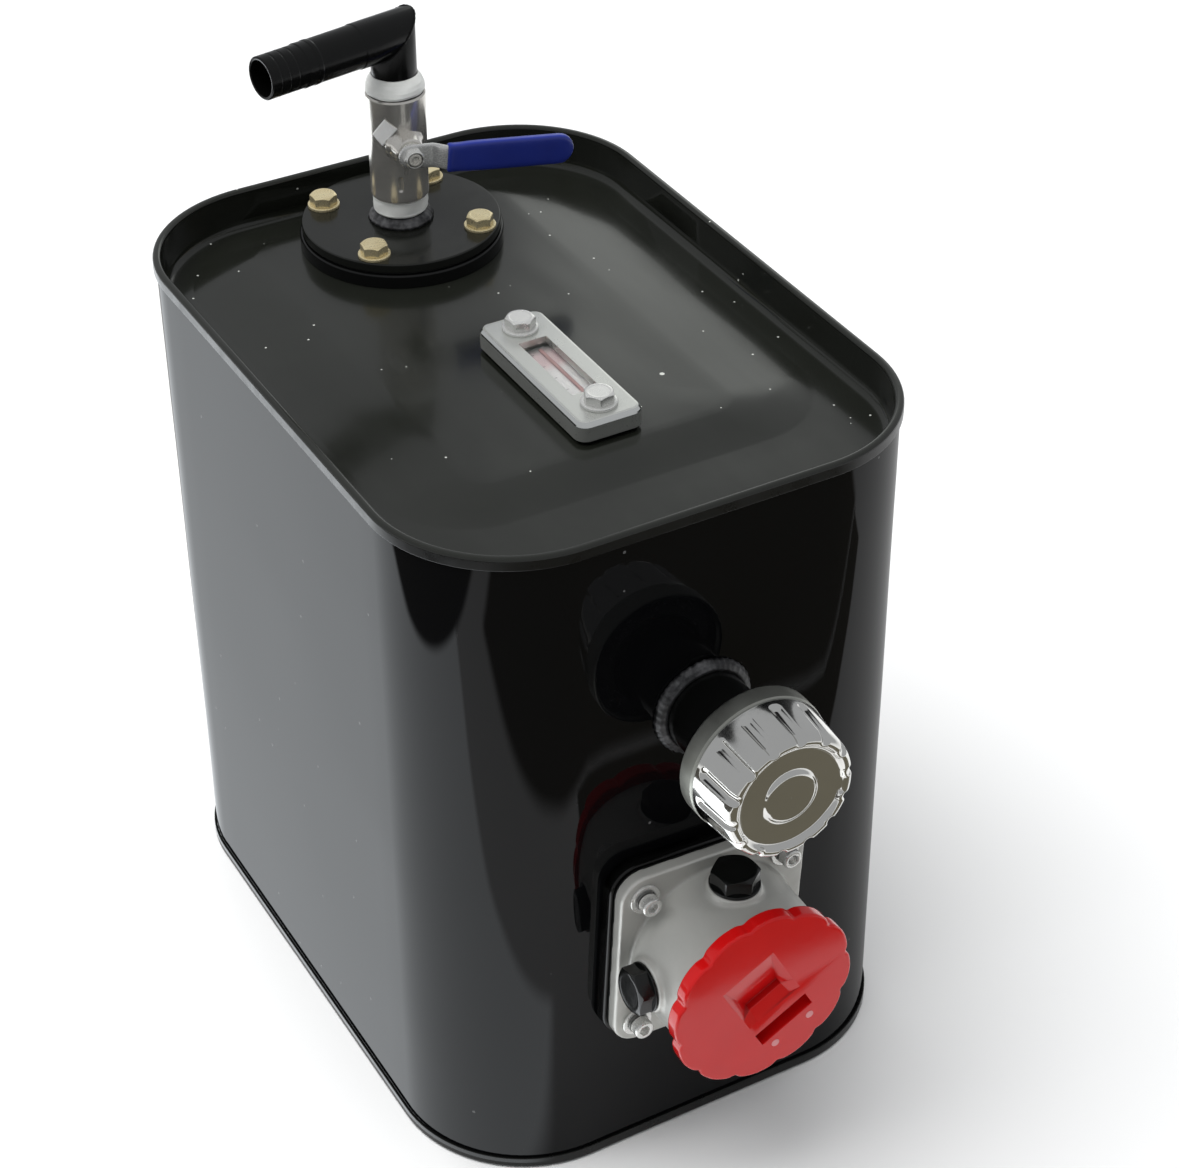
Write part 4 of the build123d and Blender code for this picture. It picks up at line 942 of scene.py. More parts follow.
st = []
for h in [-7.4, -7.0, -6.0, -4.5, -2.5, 0, 3, 6, 9, 10.5, 12, 13.5, 15, 16.5, 18, 19.5, 21, 30, 45, 60, 74, 78, 81, 83, 84.0]:
    hw = 6.75
    if h < 0:
        hw = 6.75 * math.sqrt(max(0.02, 1 - ((-h) / 7.5) ** 2.6))
    if h > 77.5:
        hw = 6.75 * math.sqrt(max(0.02, 1 - ((h - 77.5) / 6.55) ** 2.2))
    st.append((h, hw, lever_d(h) + 1.1, 1.1))
strip("lever_strip", st, 1.1, STEM, "lever_steel", "lever_arm", "lever", weighted=False)
st = []
for h in [17.3, 17.5, 18.2, 20.0, 24, 28, 34, 42, 52, 62, 70, 75, 78, 80.5, 82.5, 84.2, 85.4, 86.2, 86.5]:
    hw, ht = 8.3, 2.35
    if h < 18.3:
        k_ = (h - 17.3) / 1.0
        hw, ht = 7.3 + 1.0 * math.sqrt(max(0, k_)), 1.75 + 0.6 * math.sqrt(max(0, k_))
    # the grip narrows a little behind the crank
    hw -= 0.55 * math.exp(-((h - 22.0) / 5.0) ** 2)
    if h > 78.2:
        q = (h - 78.2) / 8.32
        hw = 8.3 * math.sqrt(max(0.004, 1 - q ** 2.1))
        ht = 2.35 * (1 - 0.45 * q ** 3)
    st.append((h, hw, lever_d(h) + 1.1 + 0.0, ht))
strip("lever_grip_dip", st, 2.3, STEM, "blue_vinyl", "lever_arm", "lever_grip", k=64, weighted=False)

# lever nut: hexagon with a rounded locking collar
z0 = 26.4 + 2.2
nut = hex_head(10.0, z0, z0 + 2.7, 0.93)
nut += [circ_loop(4.75, z0 + 2.7), circ_loop(4.75, z0 + 3.6), circ_loop(4.5, z0 + 3.95), circ_loop(4.1, z0 + 4.0), circ_loop(4.02, z0 + 3.7), circ_loop(4.02, z0)]
rings("lever_nut_hex", nut + [], STEM.turned(10), "bright_zinc", "lever_arm", "lever_nut", cap=(False, False), bevel=0.12, segs=2)

# -------------------------------------------------------------- hose tail
SEG = 128
th = np.arange(SEG) * 2 * PI / SEG
# riser: x towards the tail; its top follows the mitre
loops = []
for r, z in ((12.0, -38.2), (12.0, -30.0), (12.0, -20.0), (12.0, None), (9.5, None), (9.5, -20.0), (9.5, -38.2)):
    zz = -r * np.cos(th) if z is None else np.full(SEG, z)
    loops.append(np.stack([r * np.cos(th), r * np.sin(th), zz], 1))
v_a = [RISER(l) for l in loops]
# leg: rings along the tail, x up
legp = [(9.5, None), (11.98, None)] + rnd([(11.98, 16), (11.98, 23.4, 0.3), (11.62, 23.8, 0.2), (11.55, 49.6, 0.4), (11.82, 50.4, 0.4), (11.82, 52.2, 0.4), (11.55, 53.0, 0.5), (11.72, 57.8, 0.3), (11.30, 58.5, 0.3), (11.30, 63.0, 0.2), (10.95, 63.7, 0.3), (11.30, 64.4, 0.2), (11.30, 68.4, 0.2), (10.95, 69.1, 0.3), (11.30, 69.8, 0.2), (11.30, 73.6, 0.2), (10.95, 74.3, 0.3), (11.30, 75.0, 0.2), (11.30, 80.0, 0.5), (10.5, 80.5, 0.3), (9.5, 80.3, 0.3), (9.5, 60), (9.5, 30)], n=3)[0:]
loops2 = []
for r, s in legp:
    ss = -r * np.cos(th) if s is None else np.full(SEG, s)
    loops2.append(np.stack([r * np.cos(th), r * np.sin(th), ss], 1))
v_b = [TAIL(l) for l in loops2]


def skin(name, vs, closed, mat, body, node, **kw):
    k, n = len(vs[0]), len(vs)
    faces = []
    for i in range(n if closed else n - 1):
        a, b = i * k, ((i + 1) % n) * k
        for j in range(k):
            faces.append((a + j, a + (j + 1) % k, b + (j + 1) % k, b + j))
    return finish_mesh(name, np.concatenate(vs), faces, mat, body, node, **kw)


skin("hose_tail_spigot", v_b, True, "tail_paint", "tank", "hose_tail")
skin("hose_tail_riser", v_a, True, "tail_paint", "tank", None)
# thin weld along the mitre
bead = []
rngb = np.random.default_rng(5)
for i in range(240):
    a = 2 * PI * i / 240
    c = np.array([12.05 * math.cos(a), 12.05 * math.sin(a), -12.05 * math.cos(a)])
    bead.append(c)
bead = np.array(bead)
bl = []
K = 10
for j in range(240):
    c = bead[j]
    tng = unit(bead[(j + 1) % 240] - bead[j - 1])
    out = unit(np.array([c[0], c[1], 0]))
    up = np.cross(tng, out)
    rr_ = 0.42 + 0.10 * math.sin(j * 0.9) + 0.08 * math.sin(j * 0.37 + 1)
    bl.append(np.array([c + rr_ * (math.cos(2 * PI * q / K) * out + math.sin(2 * PI * q / K) * up) for q in range(K)]))
mitre = rings("hose_tail_mitre_weld", bl, RISER, "tail_paint", "tank", None, closed=True, weighted=False)
for v in mitre.data.vertices:  # keep the bead under the part's highest point
    v.co.z = min(v.co.z, 0.50095)

# ------------------------------------------------------------- level gauge
rr_loft("gauge_gasket_moulded", [(32, 103.5, 4, 370.5), (32, 103.5, 4, 372.5)], GAUGE, "rubber", "tank", "gauge_gasket", cap=(True, True), nc=8, ns=4)
gp = rnd([(-0.3, 372.5), (0.0, 372.9, 0.3), (0.0, 380.6, 0.4), (-0.35, 381.4, 0.4), (-1.5, 382.9, 0.6), (-2.6, 383.2, 0.4), (-4.0, 383.2)], n=3)
gh = rr_loft("gauge_housing_cast", prof_to_secs(36.5, 108.0, 6.5, gp), GAUGE, "gauge_metal", "tank", "gauge_housing", nc=12, ns=6, bevel=0.25, segs=2)
boolean(gh, [solid_poly(GAUGE, [(-7.75, -27.5), (7.75, -27.5), (7.75, 27.5), (-7.75, 27.5)], 360, 400), solid_poly(GAUGE, [(-10.0, -29.5), (10.0, -29.5), (10.0, 29.5), (-10.0, 29.5)], 360, 379.2)])
gh.data.materials.append(M["gauge_edge"])
for p in gh.data.polygons:
    c = p.center / MM
    lx, ly = abs(c[0] - GX), abs(c[1] - GY - Y0)
    if p.normal.z < 0.9 and p.normal.z > 0.15 and c[2] > 380.5 and (lx > 15.0 or ly > 50.5):
        p.material_index = 1
rr_loft("gauge_scale_plate", [(19.6, 58.6, 0.4, 372.5), (19.6, 58.6, 0.4, 374.6), (19.2, 58.2, 0.3, 374.7)], GAUGE, "scale_white", "tank", "gauge_scale", nc=3, ns=2)
rr_loft("gauge_lens_block", [(19.5, 58.5, 0.5, 374.85), (19.5, 58.5, 0.5, 378.9), (19.1, 58.1, 0.4, 379.1)], GAUGE, "clear_lens", "tank", "gauge_lens", nc=3, ns=2, weighted=True)
# printed graduations on the scale
tv, tf = [], []
for i in range(21):
    yy = -25 + i * 2.4
    ln = 5.0 if i % 5 == 0 else 3.0
    for x0 in (-6.6,):
        b = len(tv)
        x1 = x0 + ln
        for x_, y_ in ((x0, yy - 0.22), (x1, yy - 0.22), (x1, yy + 0.22), (x0, yy + 0.22)):
            tv.append((x_, y_, 374.70))
        for x_, y_ in ((x0, yy - 0.22), (x1, yy - 0.22), (x1, yy + 0.22), (x0, yy + 0.22)):
            tv.append((x_, y_, 374.76))
        tf += [(b, b + 1, b + 2, b + 3), (b + 7, b + 6, b + 5, b + 4), (b, b + 4, b + 5, b + 1), (b + 1, b + 5, b + 6, b + 2), (b + 2, b + 6, b + 7, b + 3), (b + 3, b + 7, b + 4, b)]
finish_mesh("gauge_graduations", GAUGE(np.array(tv)), tf, "dark_print", "tank", None, slot="black_plastic", smooth=False, weighted=False, merge=False)
g_at = [(GAUGE.at(0, 40).turned(38), 0), (GAUGE.at(0, -40).turned(8), 1)]
joined("gauge_washers_turned", lambda f, s: [(loops_of([(5.1, 383.2), (9.3, 383.2, 0.3), (9.3, 384.8, 0.6), (8.0, 385.0, 0.3), (5.1, 385.0)]), True, None)], g_at, "bright_zinc", "tank", "gauge_washers")
joined("gauge_bolts_hex", lambda f, s: [(hex_head(14.0, 384.9, 390.2, 0.94, 0.2), False, (True, True)), (loops_of([(0.01, 357.8), (4.4, 357.8, 0.3), (5.0, 358.8), (5.0, 385.0), (0.01, 385.0)], 48, False), False, (False, False))], g_at, "bright_zinc", "tank", "gauge_bolts", bevel=0.2, segs=2)

# --------------------------------------------------------- filler breather
lathe("filler_neck_tube", [(19.0, 187.0), (21.5, 187.0), (21.5, 232.7, 0.5), (19.0, 232.7, 0.5)], BRE, "fitting_paint", "tank", "filler_neck", seg=128)
lathe("neck_weld_bead", [(21.5, 191.5), (26.9, 191.45), (26.7, 193.2, 1.5), (25.4, 195.0, 1.6), (23.2, 196.0, 1.2), (21.5, 196.2)], BRE, "weld_paint", "tank", "neck_weld", seg=260, mod=weld_mod(0.7, 44, 11, 21.4, 26.0), n=4)
lathe("filler_basket_drawn", [(0.01, 154.7), (17.4, 154.7, 1.5), (17.4, 229.2), (18.95, 229.2), (18.95, 231.7, 0.3), (16.5, 231.7, 0.5), (16.5, 156.2, 1.0), (0.01, 156.2)], BRE, "steel_mesh", "tank", "filler_basket", seg=128, closed=False)
lathe("breather_gasket_ring", [(17.5, 233.0, 0.3), (24.5, 233.0, 0.4), (24.5, 234.7, 0.4), (17.5, 234.7, 0.3)], BRE, "rubber", "breather_lift", "breather_gasket", seg=96)
lathe("breather_base_plate_pressed", [(10, 235.0), (34.6, 235.0, 0.2), (34.6, 236.2, 0.2), (10, 236.2)], BRE, "bright_zinc", "breather_top", "breather_base_plate", seg=128)
lathe("breather_element_foam", [(14, 236.4), (30, 236.4, 1.5), (30, 260.4, 1.5), (14, 260.4)], BRE, "filter_media", "breather_top", "breather_element", seg=96)

# pressed and fluted cap
FL = 14


def flute(th, r, s):
    """Long round-ended flutes pressed in between plain ribs, opening on the rim."""
    ph = math.radians(6)
    a = ((th - ph) * FL / (2 * PI))
    d = (a - np.round(a)) * (2 * PI / FL)  # angle from the nearest flute's middle
    dist = d * 34.0
    s0 = CAP_FACE - 22.6
    hw = 3.0
    below = np.clip(s0 - s, 0, None)
    q = np.hypot(dist, below)
    depth = np.clip(1.0 - (q / hw) ** 2.6, 0, 1)
    ramp_in = np.clip((s - (s0 - hw)) / 2.0, 0, 1)
    k = np.clip((r - 27.5) / 4.0, 0, 1)
    return r - 1.75 * depth * ramp_in * k, s


cap_prof = [(34.9, 232.2), (36.3, 231.95, 0.3), (36.8, 232.8, 0.5)]
cap_prof += [(36.8, 238.0), (36.8, 241.6, 0.6), (36.35, 242.6, 0.8)]
cap_prof += [(36.25 - (q - 243.5) * 0.085, q) for q in np.arange(243.5, 266.6, 0.7)]
cap_prof += [(34.05, 267.4), (33.8, 268.4), (33.4, 269.4), (32.8, 270.3), (32.0, 271.0), (31.2, 271.35), (30.4, 271.5), (29.6, 271.35), (28.9, 270.9), (28.3, 270.2), (27.6, 269.5), (26.8, 269.0), (25.9, 268.9, 0.3)]
cap_prof += [(20.0, 268.9), (15.6, 268.9, 0.3), (14.7, 269.1), (14.1, 269.5), (13.6, 270.0), (13.0, 270.4), (12.2, 270.6, 0.3), (8.0, 270.6), (0.25, 270.6), (0.01, 270.6)]
cap_loops_in = [(0.01, 265.5), (0.25, 265.5), (30.8, 265.5), (34.0, 244.0), (34.9, 243.0)]
cap_ob = lathe("breather_cap_pressed", cap_prof + cap_loops_in, BRE, "chrome", "breather_top", "breather_cap", seg=FL * 32, mod=lambda th, r, s: flute(th, r, s), n=3, weighted=False)
cap_ob.data.materials.append(M["plated_band"])
for p in cap_ob.data.polygons:
    if Y0 - p.center.y * 1000 < 243.6:
        p.material_index = 1

# ------------------------------------------------------------ return filter
PADF = WALL + 7.0
GASF = PADF + 1.0
FLF = 206.7
HEND = 249.8
SCP = 40.25
pad = rr_loft("filter_weld_pad_plate", [(109, 109, 15, WALL - 0.05), (109, 109, 15, PADF - 1.4), (108.5, 108.5, 14.7, PADF - 0.6), (107.0, 107.0, 14.0, PADF)], FIL, "fitting_paint", "tank", "filter_weld_pad", nc=12, ns=4)
boolean(pad, [solid_cyl(FIL, 42.0, 150, 220)])
gsk = rr_loft("filter_gasket_sheet", [(105, 105, 13.5, PADF), (105, 105, 13.5, GASF)], FIL, "rubber", "tank", "filter_gasket", nc=10, ns=4)
boolean(gsk, [solid_cyl(FIL, 42.0, 150, 220)])


def raw(name, loops, fr, closed=False):
    k, n = len(loops[0]), len(loops)
    verts = np.concatenate([fr(np.asarray(l, float)) for l in loops])
    faces = []
    for i in range(n - 1):
        for j in range(k):
            faces.append((i * k + j, i * k + (j + 1) % k, (i + 1) * k + (j + 1) % k, (i + 1) * k + j))
    faces += [tuple(range(k - 1, -1, -1)), tuple((n - 1) * k + j for j in range(k))]
    me = bpy.data.meshes.new(name)
    me.from_pydata([tuple(p) for p in verts], [], faces)
    bm = bmesh.new()
    bm.from_mesh(me)
    bmesh.ops.recalc_face_normals(bm, faces=bm.faces)
    bm.to_mesh(me)
    bm.free()
    ob = bpy.data.objects.new(name, me)
    bpy.context.scene.collection.objects.link(ob)
    return ob


# the casting is fused from its forms, then softened like a sand casting
def sec3(s):
    xy = rrect(s[0], s[1], s[2], 12, 6)
    return np.concatenate([xy, np.full((len(xy), 1), float(s[3]))], 1)


flange = raw("flange", [sec3((106, 106, 14, GASF)), sec3((106, 106, 14, FLF - 0.6)), sec3((105.2, 105.2, 13.6, FLF))], FIL)
cone = raw("cone", [circ_loop(46.5, 203, 128), circ_loop(46.4, FLF, 128), circ_loop(45.3, 242.0, 128), circ_loop(45.0, HEND, 128)], FIL)
casting = [flange, cone]
bosses = []
BOSS_DIRS = (v3(math.sin(_f), 0, math.cos(_f)), v3(-math.cos(_f), 0, math.sin(_f)))
for bd in BOSS_DIRS:
    bf = Fr(v3(FX, Y0 - 224.2, FZ), (0, 1, 0), bd)
    bosses.append(bf)
    casting.append(raw("boss", [circ_loop(14.4, 25, 96), circ_loop(14.0, 44, 96), circ_loop(13.8, 46.9, 96), circ_loop(13.2, 47.5, 96)], bf))
base = casting[0]
for o in casting[1:]:
    m = base.modifiers.new("u", "BOOLEAN")
    m.operation = "UNION"
    m.solver = "EXACT"
    m.object = o
cut = [solid_cyl(FIL, 40.0, 190, 270, 128)]
for bf in bosses:
    cut.append(solid_cyl(bf, 10.5, 30, 60, 64))
for sx in (-1, 1):
    for sy in (-1, 1):
        cut.append(solid_cyl(FIL.at(sx * SCP, sy * SCP), 3.5, 190, 215, 40))
for o in cut:
    m = base.modifiers.new("c", "BOOLEAN")
    m.operation = "DIFFERENCE"
    m.solver = "EXACT"
    m.object = o
rm = base.modifiers.new("vox", "REMESH")
rm.mode = "VOXEL"
rm.voxel_size = 0.00085
sm = base.modifiers.new("soft", "SMOOTH")
sm.factor = 0.5
sm.iterations = 7
dg = bpy.context.evaluated_depsgraph_get()
cast_mesh = bpy.data.meshes.new_from_object(base.evaluated_get(dg))
for o in casting + cut:
    bpy.data.objects.remove(o)
cast_mesh.name = "filter_head_casting"
head = bpy.data.objects.new("filter_head_casting", cast_mesh)
bpy.context.scene.collection.objects.link(head)
dress(head, "cast_aluminium", "tank", "filter_head", weighted=False)

for name, node, bf, tw in (("port_plug_top_moulded", "port_plug_top", bosses[0], 8), ("port_plug_side_moulded", "port_plug_side", bosses[1], 20)):
    pf = bf.turned(tw)
    lp = [circ_loop(12.7, 47.55), circ_loop(12.9, 47.8), circ_loop(12.9, 48.7), circ_loop(12.6, 49.0), circ_loop(11.3, 49.0)]
    lp = [circ_loop(10.3, 40.0), circ_loop(10.3, 47.55)] + lp + hex_head(22.0, 49.0, 57.0, 0.93, 0.5)
    rings(name, lp, pf, "black_plastic", "tank", node, bevel=0.35, segs=3)

scr = [(FIL.at(sx * SCP, sy * SCP).turned(13 * i + 7), i) for i, (sx, sy) in enumerate(((-1, -1), (1, -1), (1, 1), (-1, 1)))]
joined("filter_washers_turned", lambda f, s: [(loops_of([(3.25, 206.75), (8.2, 206.75, 0.2), (8.2, 208.3, 0.5), (3.25, 208.3)]), True, None)], scr, "bright_zinc", "tank", "filter_washers")


def spring_w(f, s):
    """Split spring washer: a square-section ring with a skewed gap."""
    out = []
    n = 60
    a0, a1 = math.radians(8), math.radians(352)
    secs_ = []
    for i in range(n):
        a = a0 + (a1 - a0) * i / (n - 1)
        z = 208.32 + 0.25 * i / (n - 1)
        q = []
        for r_, z_ in ((3.25, 0.1), (3.4, 0.0), (5.45, 0.0), (5.6, 0.15), (5.6, 0.95), (5.45, 1.05), (3.4, 1.05), (3.25, 0.95)):
            q.append((r_ * math.cos(a), r_ * math.sin(a), z + z_))
        secs_.append(np.array(q))
    out.append((secs_, False, (True, True)))
    return out


joined("filter_spring_washers_coil", spring_w, scr, "dull_zinc", "tank", "filter_spring_washers")


def shcs(f, s):
    z0, z1 = 209.65, 215.6
    seg = 96
    th_ = np.arange(seg) * 2 * PI / seg
    kn = 0.12 * (np.cos(32 * th_) > 0)
    lp = [circ_loop(2.95, z0, seg), circ_loop(4.95, z0, seg), circ_loop(5.15, z0 + 0.3, seg)]
    for z in (z0 + 1.0, z1 - 1.2):
        r_ = 5.2 - kn
        lp.append(np.stack([r_ * np.cos(th_), r_ * np.sin(th_), np.full(seg, z)], 1))
    lp += [circ_loop(5.15, z1 - 0.8, seg), circ_loop(4.85, z1 - 0.22, seg), circ_loop(4.45, z1, seg), circ_loop(3.3, z1, seg)]
    lp += [hex_loop(5.3, z1 - 0.15, seg, 1.0), hex_loop(5.0, z1 - 0.6, seg, 1.0), hex_loop(5.0, z1 - 3.0, seg, 1.0), circ_loop(0.8, z1 - 3.6, seg)]
    shank = loops_of([(0.01, 192.6), (3.0, 192.6), (3.0, z0), (0.01, z0)], 48, False)
    return [(lp, False, (True, True)), (shank, False, (False, False))]


joined("filter_screws_socket", shcs, scr, "bright_zinc", "tank", "filter_screws")
lathe("filter_bowl_drawn", [(16, 85), (39.2, 85, 3), (39.2, 205), (37.7, 205), (37.7, 86.5, 2), (16, 86.5)], FIL, "bright_zinc", "tank", "filter_bowl", seg=96)
lathe("filter_element_pleats", [(20.0, 96.0), (31.4, 96.0), (31.4, 230.0), (20.0, 230.0)], FIL, "filter_media", "element_lift", "filter_element", seg=960, mod=lambda th, r, s: (np.where(r > 25, r + 1.0 * np.cos(60 * th), r), s))
joined("element_end_caps_pressed", lambda f, s: [(loops_of([(15, 92), (33.5, 92, 0.8), (33.5, 96), (15, 96)]), True, None), (loops_of([(0.01, 230), (33.5, 230), (33.5, 234, 0.8), (0.01, 234)], 96, False), False, (False, False))], [(FIL, 0)], "bright_zinc", "element_lift", "element_end_caps")

# red cap ------------------------------------------------------------------
RF = 258.3
RED_R = 50.6
g = math.radians(28.5)
GRIP = Fr((FX, Y0 - RF, FZ), (math.cos(g), 0, math.sin(g)), (0, -1, 0))
SEGR = 360
LOBES = 12


def red_r(th):
    """Rim outline: long shallow lobes parted by short nicks."""
    a = ((th - math.radians(14)) * LOBES / (2 * PI)) % 1.0
    d = np.minimum(a, 1 - a) * (2 * PI / LOBES) * RED_R  # mm from the nick's middle
    lobe = 0.9 * (np.cos((a - 0.5) * 2 * PI) * 0.5 + 0.5)
    nick = 1.5 * np.exp(-((d / 2.6) ** 2))
    return RED_R - 0.9 + lobe - nick


thr = np.arange(SEGR) * 2 * PI / SEGR
rr0 = red_r(thr)


def red_loop(off, s, keep=1.0):
    r = (rr0 - RED_R) * keep + RED_R + off
    return np.stack([r * np.cos(thr), r * np.sin(thr), np.full(SEGR, s)], 1)


# outline of the sunk grip, in the grip's own axes (cross, along)
HOLE = [(-15.2, 23.5), (-15.2, -3.0), (-15.2, -11.0), (-15.2, -18.3), (-15.2, -27.5), (17.0, -27.5), (17.0, -18.3), (17.0, -11.0), (17.0, -3.0), (17.0, 23.5)]
bm = bmesh.new()
fil_to = lambda loop: [bm.verts.new(tuple(p)) for p in FIL(np.asarray(loop, float))]
prev = None
for off, s, keep in ((-11.3, 237.9, 0), (-11.3, 250.2, 0), (-1.2, 250.2, 1), (-0.4, 250.4, 1), (0, 251.1, 1), (0, 256.8, 1), (-0.25, 257.6, 1), (-0.9, 258.15, 1), (-1.8, 258.3, 1)):
    cur = fil_to(red_loop(off, s, keep))
    if prev:
        for j in range(SEGR):
            bm.faces.new((prev[j], prev[(j + 1) % SEGR], cur[(j + 1) % SEGR], cur[j]))
    else:
        first = cur
    prev = cur
rim_last = prev
# inner skirt
prev = first
for r_, s in ((34.6, 237.9), (34.6, 249.9)):
    cur = fil_to(circ_loop(r_, s, SEGR))
    for j in range(SEGR):
        bm.faces.new((prev[j], cur[j], cur[(j + 1) % SEGR], prev[(j + 1) % SEGR]))
    prev = cur
bm.faces.new(prev)
# face with the grip's outline left open
hv = [bm.verts.new(tuple(GRIP(np.array([u, v, 0.0])))) for u, v in HOLE]
rim_edges = [bm.edges.get((rim_last[j], rim_last[(j + 1) % SEGR])) for j in range(SEGR)]
hole_edges = [bm.edges.new((hv[j], hv[(j + 1) % len(hv)])) for j in range(len(hv))]
bmesh.ops.triangle_fill(bm, use_beauty=True, use_dissolve=False, edges=rim_edges + hole_edges)


def gv(u, v, d):
    return bm.verts.new(tuple(GRIP(np.array([u, v, -d]))))


dup = {p: hv[i] for i, p in enumerate(HOLE)}
wl, wr = 4.6, 4.6  # sloping side walls of the sunk ramp
A0, A1 = dup[(-15.2, 23.5)], dup[(17.0, 23.5)]
L3, R3 = dup[(-15.2, -3.0)], dup[(17.0, -3.0)]
L11, R11 = dup[(-15.2, -11.0)], dup[(17.0, -11.0)]
L18, R18 = dup[(-15.2, -18.3)], dup[(17.0, -18.3)]
L27, R27 = dup[(-15.2, -27.5)], dup[(17.0, -27.5)]
DEEP = 7.2
a0 = gv(-15.2 + 1.7, 23.1, 0.03)
a1 = gv(17.0 - 1.7, 23.1, 0.03)
f0 = gv(-15.2 + 6.2, -3.0, DEEP)
f1 = gv(17.0 - 6.2, -3.0, DEEP)
b0 = gv(-15.2 + 6.2, -3.0, 3.2)
b1 = gv(17.0 - 6.2, -3.0, 3.2)
c0 = gv(-15.2 + 5.2, -11.0, 1.1)
c1 = gv(17.0 - 5.2, -11.0, 1.1)
F = bm.faces.new
F((A0, A1, a1, a0))
F((a0, a1, f1, f0))
F((A0, a0, f0, b0, L3))
F((A1, R3, b1, f1, a1))
F((f0, f1, b1, b0))
F((b0, b1, c1, c0))
F((L3, b0, c0, L11))
F((R3, R11, c1, b1))
F((L11, c0, c1, R11, R18, L18))
s0 = gv(-15.2 + 0.5, -18.6, 7.5)
s1 = gv(17.0 - 0.5, -18.6, 7.5)
s2 = gv(17.0 - 0.5, -27.1, 7.5)
s3 = gv(-15.2 + 0.5, -27.1, 7.5)
F((L18, R18, s1, s0))
F((R18, R27, s2, s1))
F((R27, L27, s3, s2))
F((L27, L18, s0, s3))
F((s0, s1, s2, s3))
bmesh.ops.recalc_face_normals(bm, faces=bm.faces)
me = bpy.data.meshes.new("filter_cap_moulded")
bm.to_mesh(me)
bm.free()
redcap = bpy.data.objects.new("filter_cap_moulded", me)
bpy.context.scene.collection.objects.link(redcap)
dress(redcap, "red_plastic", "red_cap", "filter_cap", bevel=0.35, bevel_angle=19, segs=3)
# two small ejector marks below the slot, coloured a lighter red than the cap
ej = []
for (u, v) in ((-9.6, -33.0), (12.4, -33.6)):
    ej.append((GRIP.at(u, v), 0))
joined("filter_cap_marks", lambda f, s: [([circ_loop(2.2, -0.02, 40), circ_loop(2.15, 0.10, 40), circ_loop(1.8, 0.16, 40), circ_loop(1.0, 0.17, 40)], False, (True, True))], ej, "red_mark", "red_cap", None)
lathe("filter_cap_seal_ring", [(39.4, 237.95, 0.1), (39.7, 237.95, 0.1), (39.7, 240.7, 0.1), (39.4, 240.7, 0.1)], FIL, "rubber", "red_cap", "filter_cap_seal", seg=96, n=2)

# --------------------------------------------------------------- the set
size_floor = 4.0
fm = bpy.data.meshes.new("floor")
N = 40
vv = [((i / N - 0.5) * 2 * size_floor, (j / N - 0.5) * 2 * size_floor, 0.0) for i in range(N + 1) for j in range(N + 1)]
ff = [(i * (N + 1) + j, (i + 1) * (N + 1) + j, (i + 1) * (N + 1) + j + 1, i * (N + 1) + j + 1) for i in range(N) for j in range(N)]
fm.from_pydata(vv, [], ff)
floor = bpy.data.objects.new("floor", fm)
bpy.context.scene.collection.objects.link(floor)
fmat = Mat("floor_paper")
fmat.set(Base_Color=fmat.mix(fmat.noise(3.0, 2.0), (0.86, 0.86, 0.855), (0.88, 0.88, 0.875)))
fmat.set(Roughness=0.9, Specular_IOR_Level=0.1)
floor.data.materials.append(fmat.m)


def card(name, loc, size, rot, strength, colour=(1, 1, 1), soft=0.15):
    """Reflection card: seen only in gloss, with a feathered edge."""
    me = bpy.data.meshes.new(name)
    x, y = size[0] / 2, size[1] / 2
    me.from_pydata([(-x, -y, 0), (x, -y, 0), (x, y, 0), (-x, y, 0)], [], [(0, 1, 2, 3)])
    ob = bpy.data.objects.new(name, me)
    bpy.context.scene.collection.objects.link(ob)
    ob.location = loc
    ob.rotation_euler = rot
    mt = bpy.data.materials.new(name)
    mt.use_nodes = True
    n, l = mt.node_tree.nodes, mt.node_tree.links
    n.clear()
    out = n.new("ShaderNodeOutputMaterial")
    em = n.new("ShaderNodeEmission")
    em.inputs["Strength"].default_value = strength
    em.inputs["Color"].default_value = (*colour, 1)
    tr = n.new("ShaderNodeBsdfTransparent")
    mx = n.new("ShaderNodeMixShader")
    tc = n.new("ShaderNodeTexCoord")
    sp = n.new("ShaderNodeSeparateXYZ")
    l.new(tc.outputs["Object"], sp.inputs["Vector"])

    def edge(sock, half):
        a = n.new("ShaderNodeMath")
        a.operation = "ABSOLUTE"
        l.new(sock, a.inputs[0])
        m = n.new("ShaderNodeMapRange")
        m.interpolation_type = "SMOOTHSTEP"
        m.inputs["From Min"].default_value = half
        m.inputs["From Max"].default_value = max(0.0, half - soft)
        l.new(a.outputs[0], m.inputs["Value"])
        return m.outputs["Result"]

    e1, e2 = edge(sp.outputs["X"], x), edge(sp.outputs["Y"], y)
    mu = n.new("ShaderNodeMath")
    mu.operation = "MULTIPLY"
    l.new(e1, mu.inputs[0])
    l.new(e2, mu.inputs[1])
    l.new(mu.outputs[0], mx.inputs["Fac"])
    l.new(tr.outputs[0], mx.inputs[1])
    l.new(em.outputs[0], mx.inputs[2])
    l.new(mx.outputs[0], out.inputs["Surface"])
    me.materials.append(mt)
    ob.visible_camera = False
    ob.visible_diffuse = False
    ob.visible_shadow = False
    ob.visible_transmission = False
    return ob


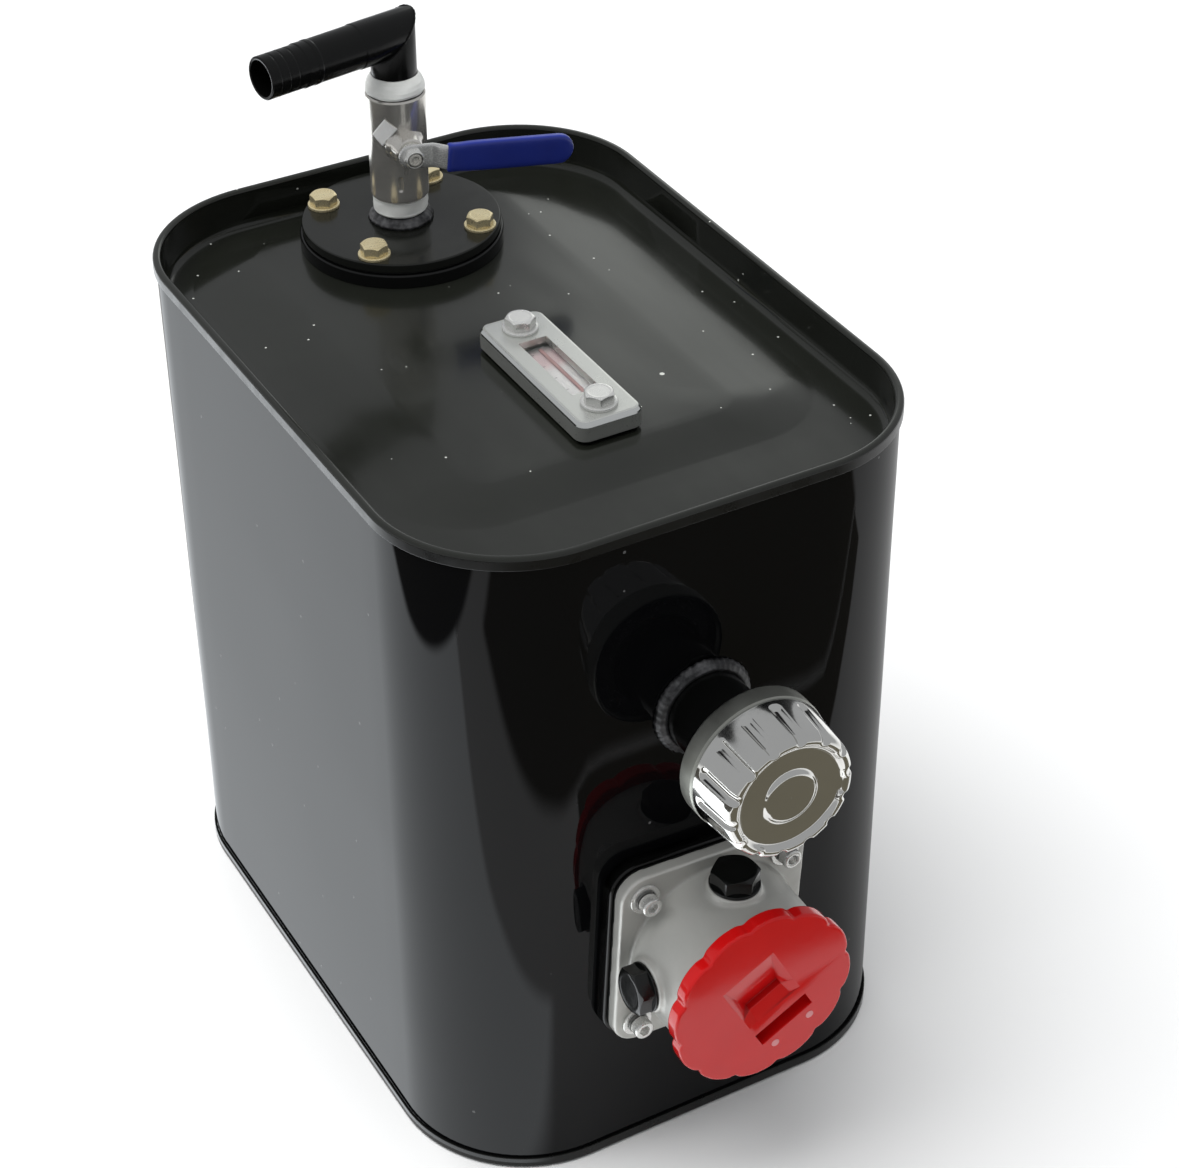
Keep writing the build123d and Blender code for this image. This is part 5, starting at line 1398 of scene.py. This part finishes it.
card("card_left", (-0.335, 0.45, 0.004), (0.50, 1.45, 0), (0, 0, 0), 2.6, (0.93, 0.97, 1.0), 0.02)
# card_dark_left, card_dark_front and card_dark_step are dim sheets lying on the floor, seen only in gloss: they darken
# the floor where it shows in the tank's reflections, painted shade
card("card_dark_left", (-0.98, 0.05, 0.007), (0.88, 2.6, 0), (0, 0, 0), 0.10, (0.9, 0.85, 0.75), 0.02)
card("card_dark_front", (0.03, -0.92, 0.006), (1.03, 1.02, 0), (0, 0, 0), 0.16, (1.0, 0.92, 0.70), 0.03)
card("card_dark_step", (0.27, -0.386, 0.0065), (0.50, 0.08, 0), (0, 0, 0), 0.16, (1.0, 0.92, 0.70), 0.01)
card("card_rear_right", (1.12, 1.25, 0.98), (1.05, 0.85, 0), (math.radians(90), 0, 0), 1.25, (0.97, 1.0, 0.97), 0.16)


def area(name, loc, target, size, power, colour=(1, 1, 1)):
    l = bpy.data.lights.new(name, "AREA")
    l.shape = "RECTANGLE"
    l.size, l.size_y = size
    l.energy = power
    l.color = colour
    o = bpy.data.objects.new(name, l)
    o.location = loc
    d = Vector(target) - Vector(loc)
    o.rotation_euler = d.to_track_quat("-Z", "Y").to_euler()
    bpy.context.scene.collection.objects.link(o)
    return o


for nm, lc, tg, sz, pw in (("key", (-0.7, 0.4, 2.6), (0, 0, 0.1), (2.4, 2.4), 95), ("fill", (1.5, -0.2, 2.0), (0, 0, 0.2), (1.2, 1.2), 9)):
    lo = area(nm, lc, tg, sz, pw)
    lo.visible_glossy = False
    lo.visible_camera = False
w = bpy.data.worlds.new("studio")
bpy.context.scene.world = w
w.use_nodes = True
w.node_tree.nodes["Background"].inputs["Color"].default_value = (0.95, 0.97, 1.0, 1)
w.node_tree.nodes["Background"].inputs["Strength"].default_value = 0.45

# camera at the fitted viewpoint
a, e, roll = math.radians(-29.09), math.radians(36.09), -0.0083
right = v3(math.cos(a), math.sin(a), 0)
back = v3(math.sin(a) * math.cos(e), -math.cos(a) * math.cos(e), math.sin(e))
up = np.cross(back, right)
r2 = math.cos(roll) * right + math.sin(roll) * up
u2 = -math.sin(roll) * right + math.cos(roll) * up
cam = bpy.data.objects.new("camera", bpy.data.cameras.new("camera"))
cam.data.sensor_width = 36.0
cam.data.lens = 2838.8 / 1179 * 36.0
cam.data.clip_start = 0.05
mw = Matrix.Identity(4)
for i in range(3):
    mw[i][0], mw[i][1], mw[i][2] = r2[i], u2[i], back[i]
mw[0][3], mw[1][3], mw[2][3] = -0.5637, -1.0897 + Y0 * MM, 1.1173
cam.matrix_world = mw
bpy.context.scene.collection.objects.link(cam)
bpy.context.scene.camera = cam
bpy.context.scene.view_settings.view_transform = "Standard"
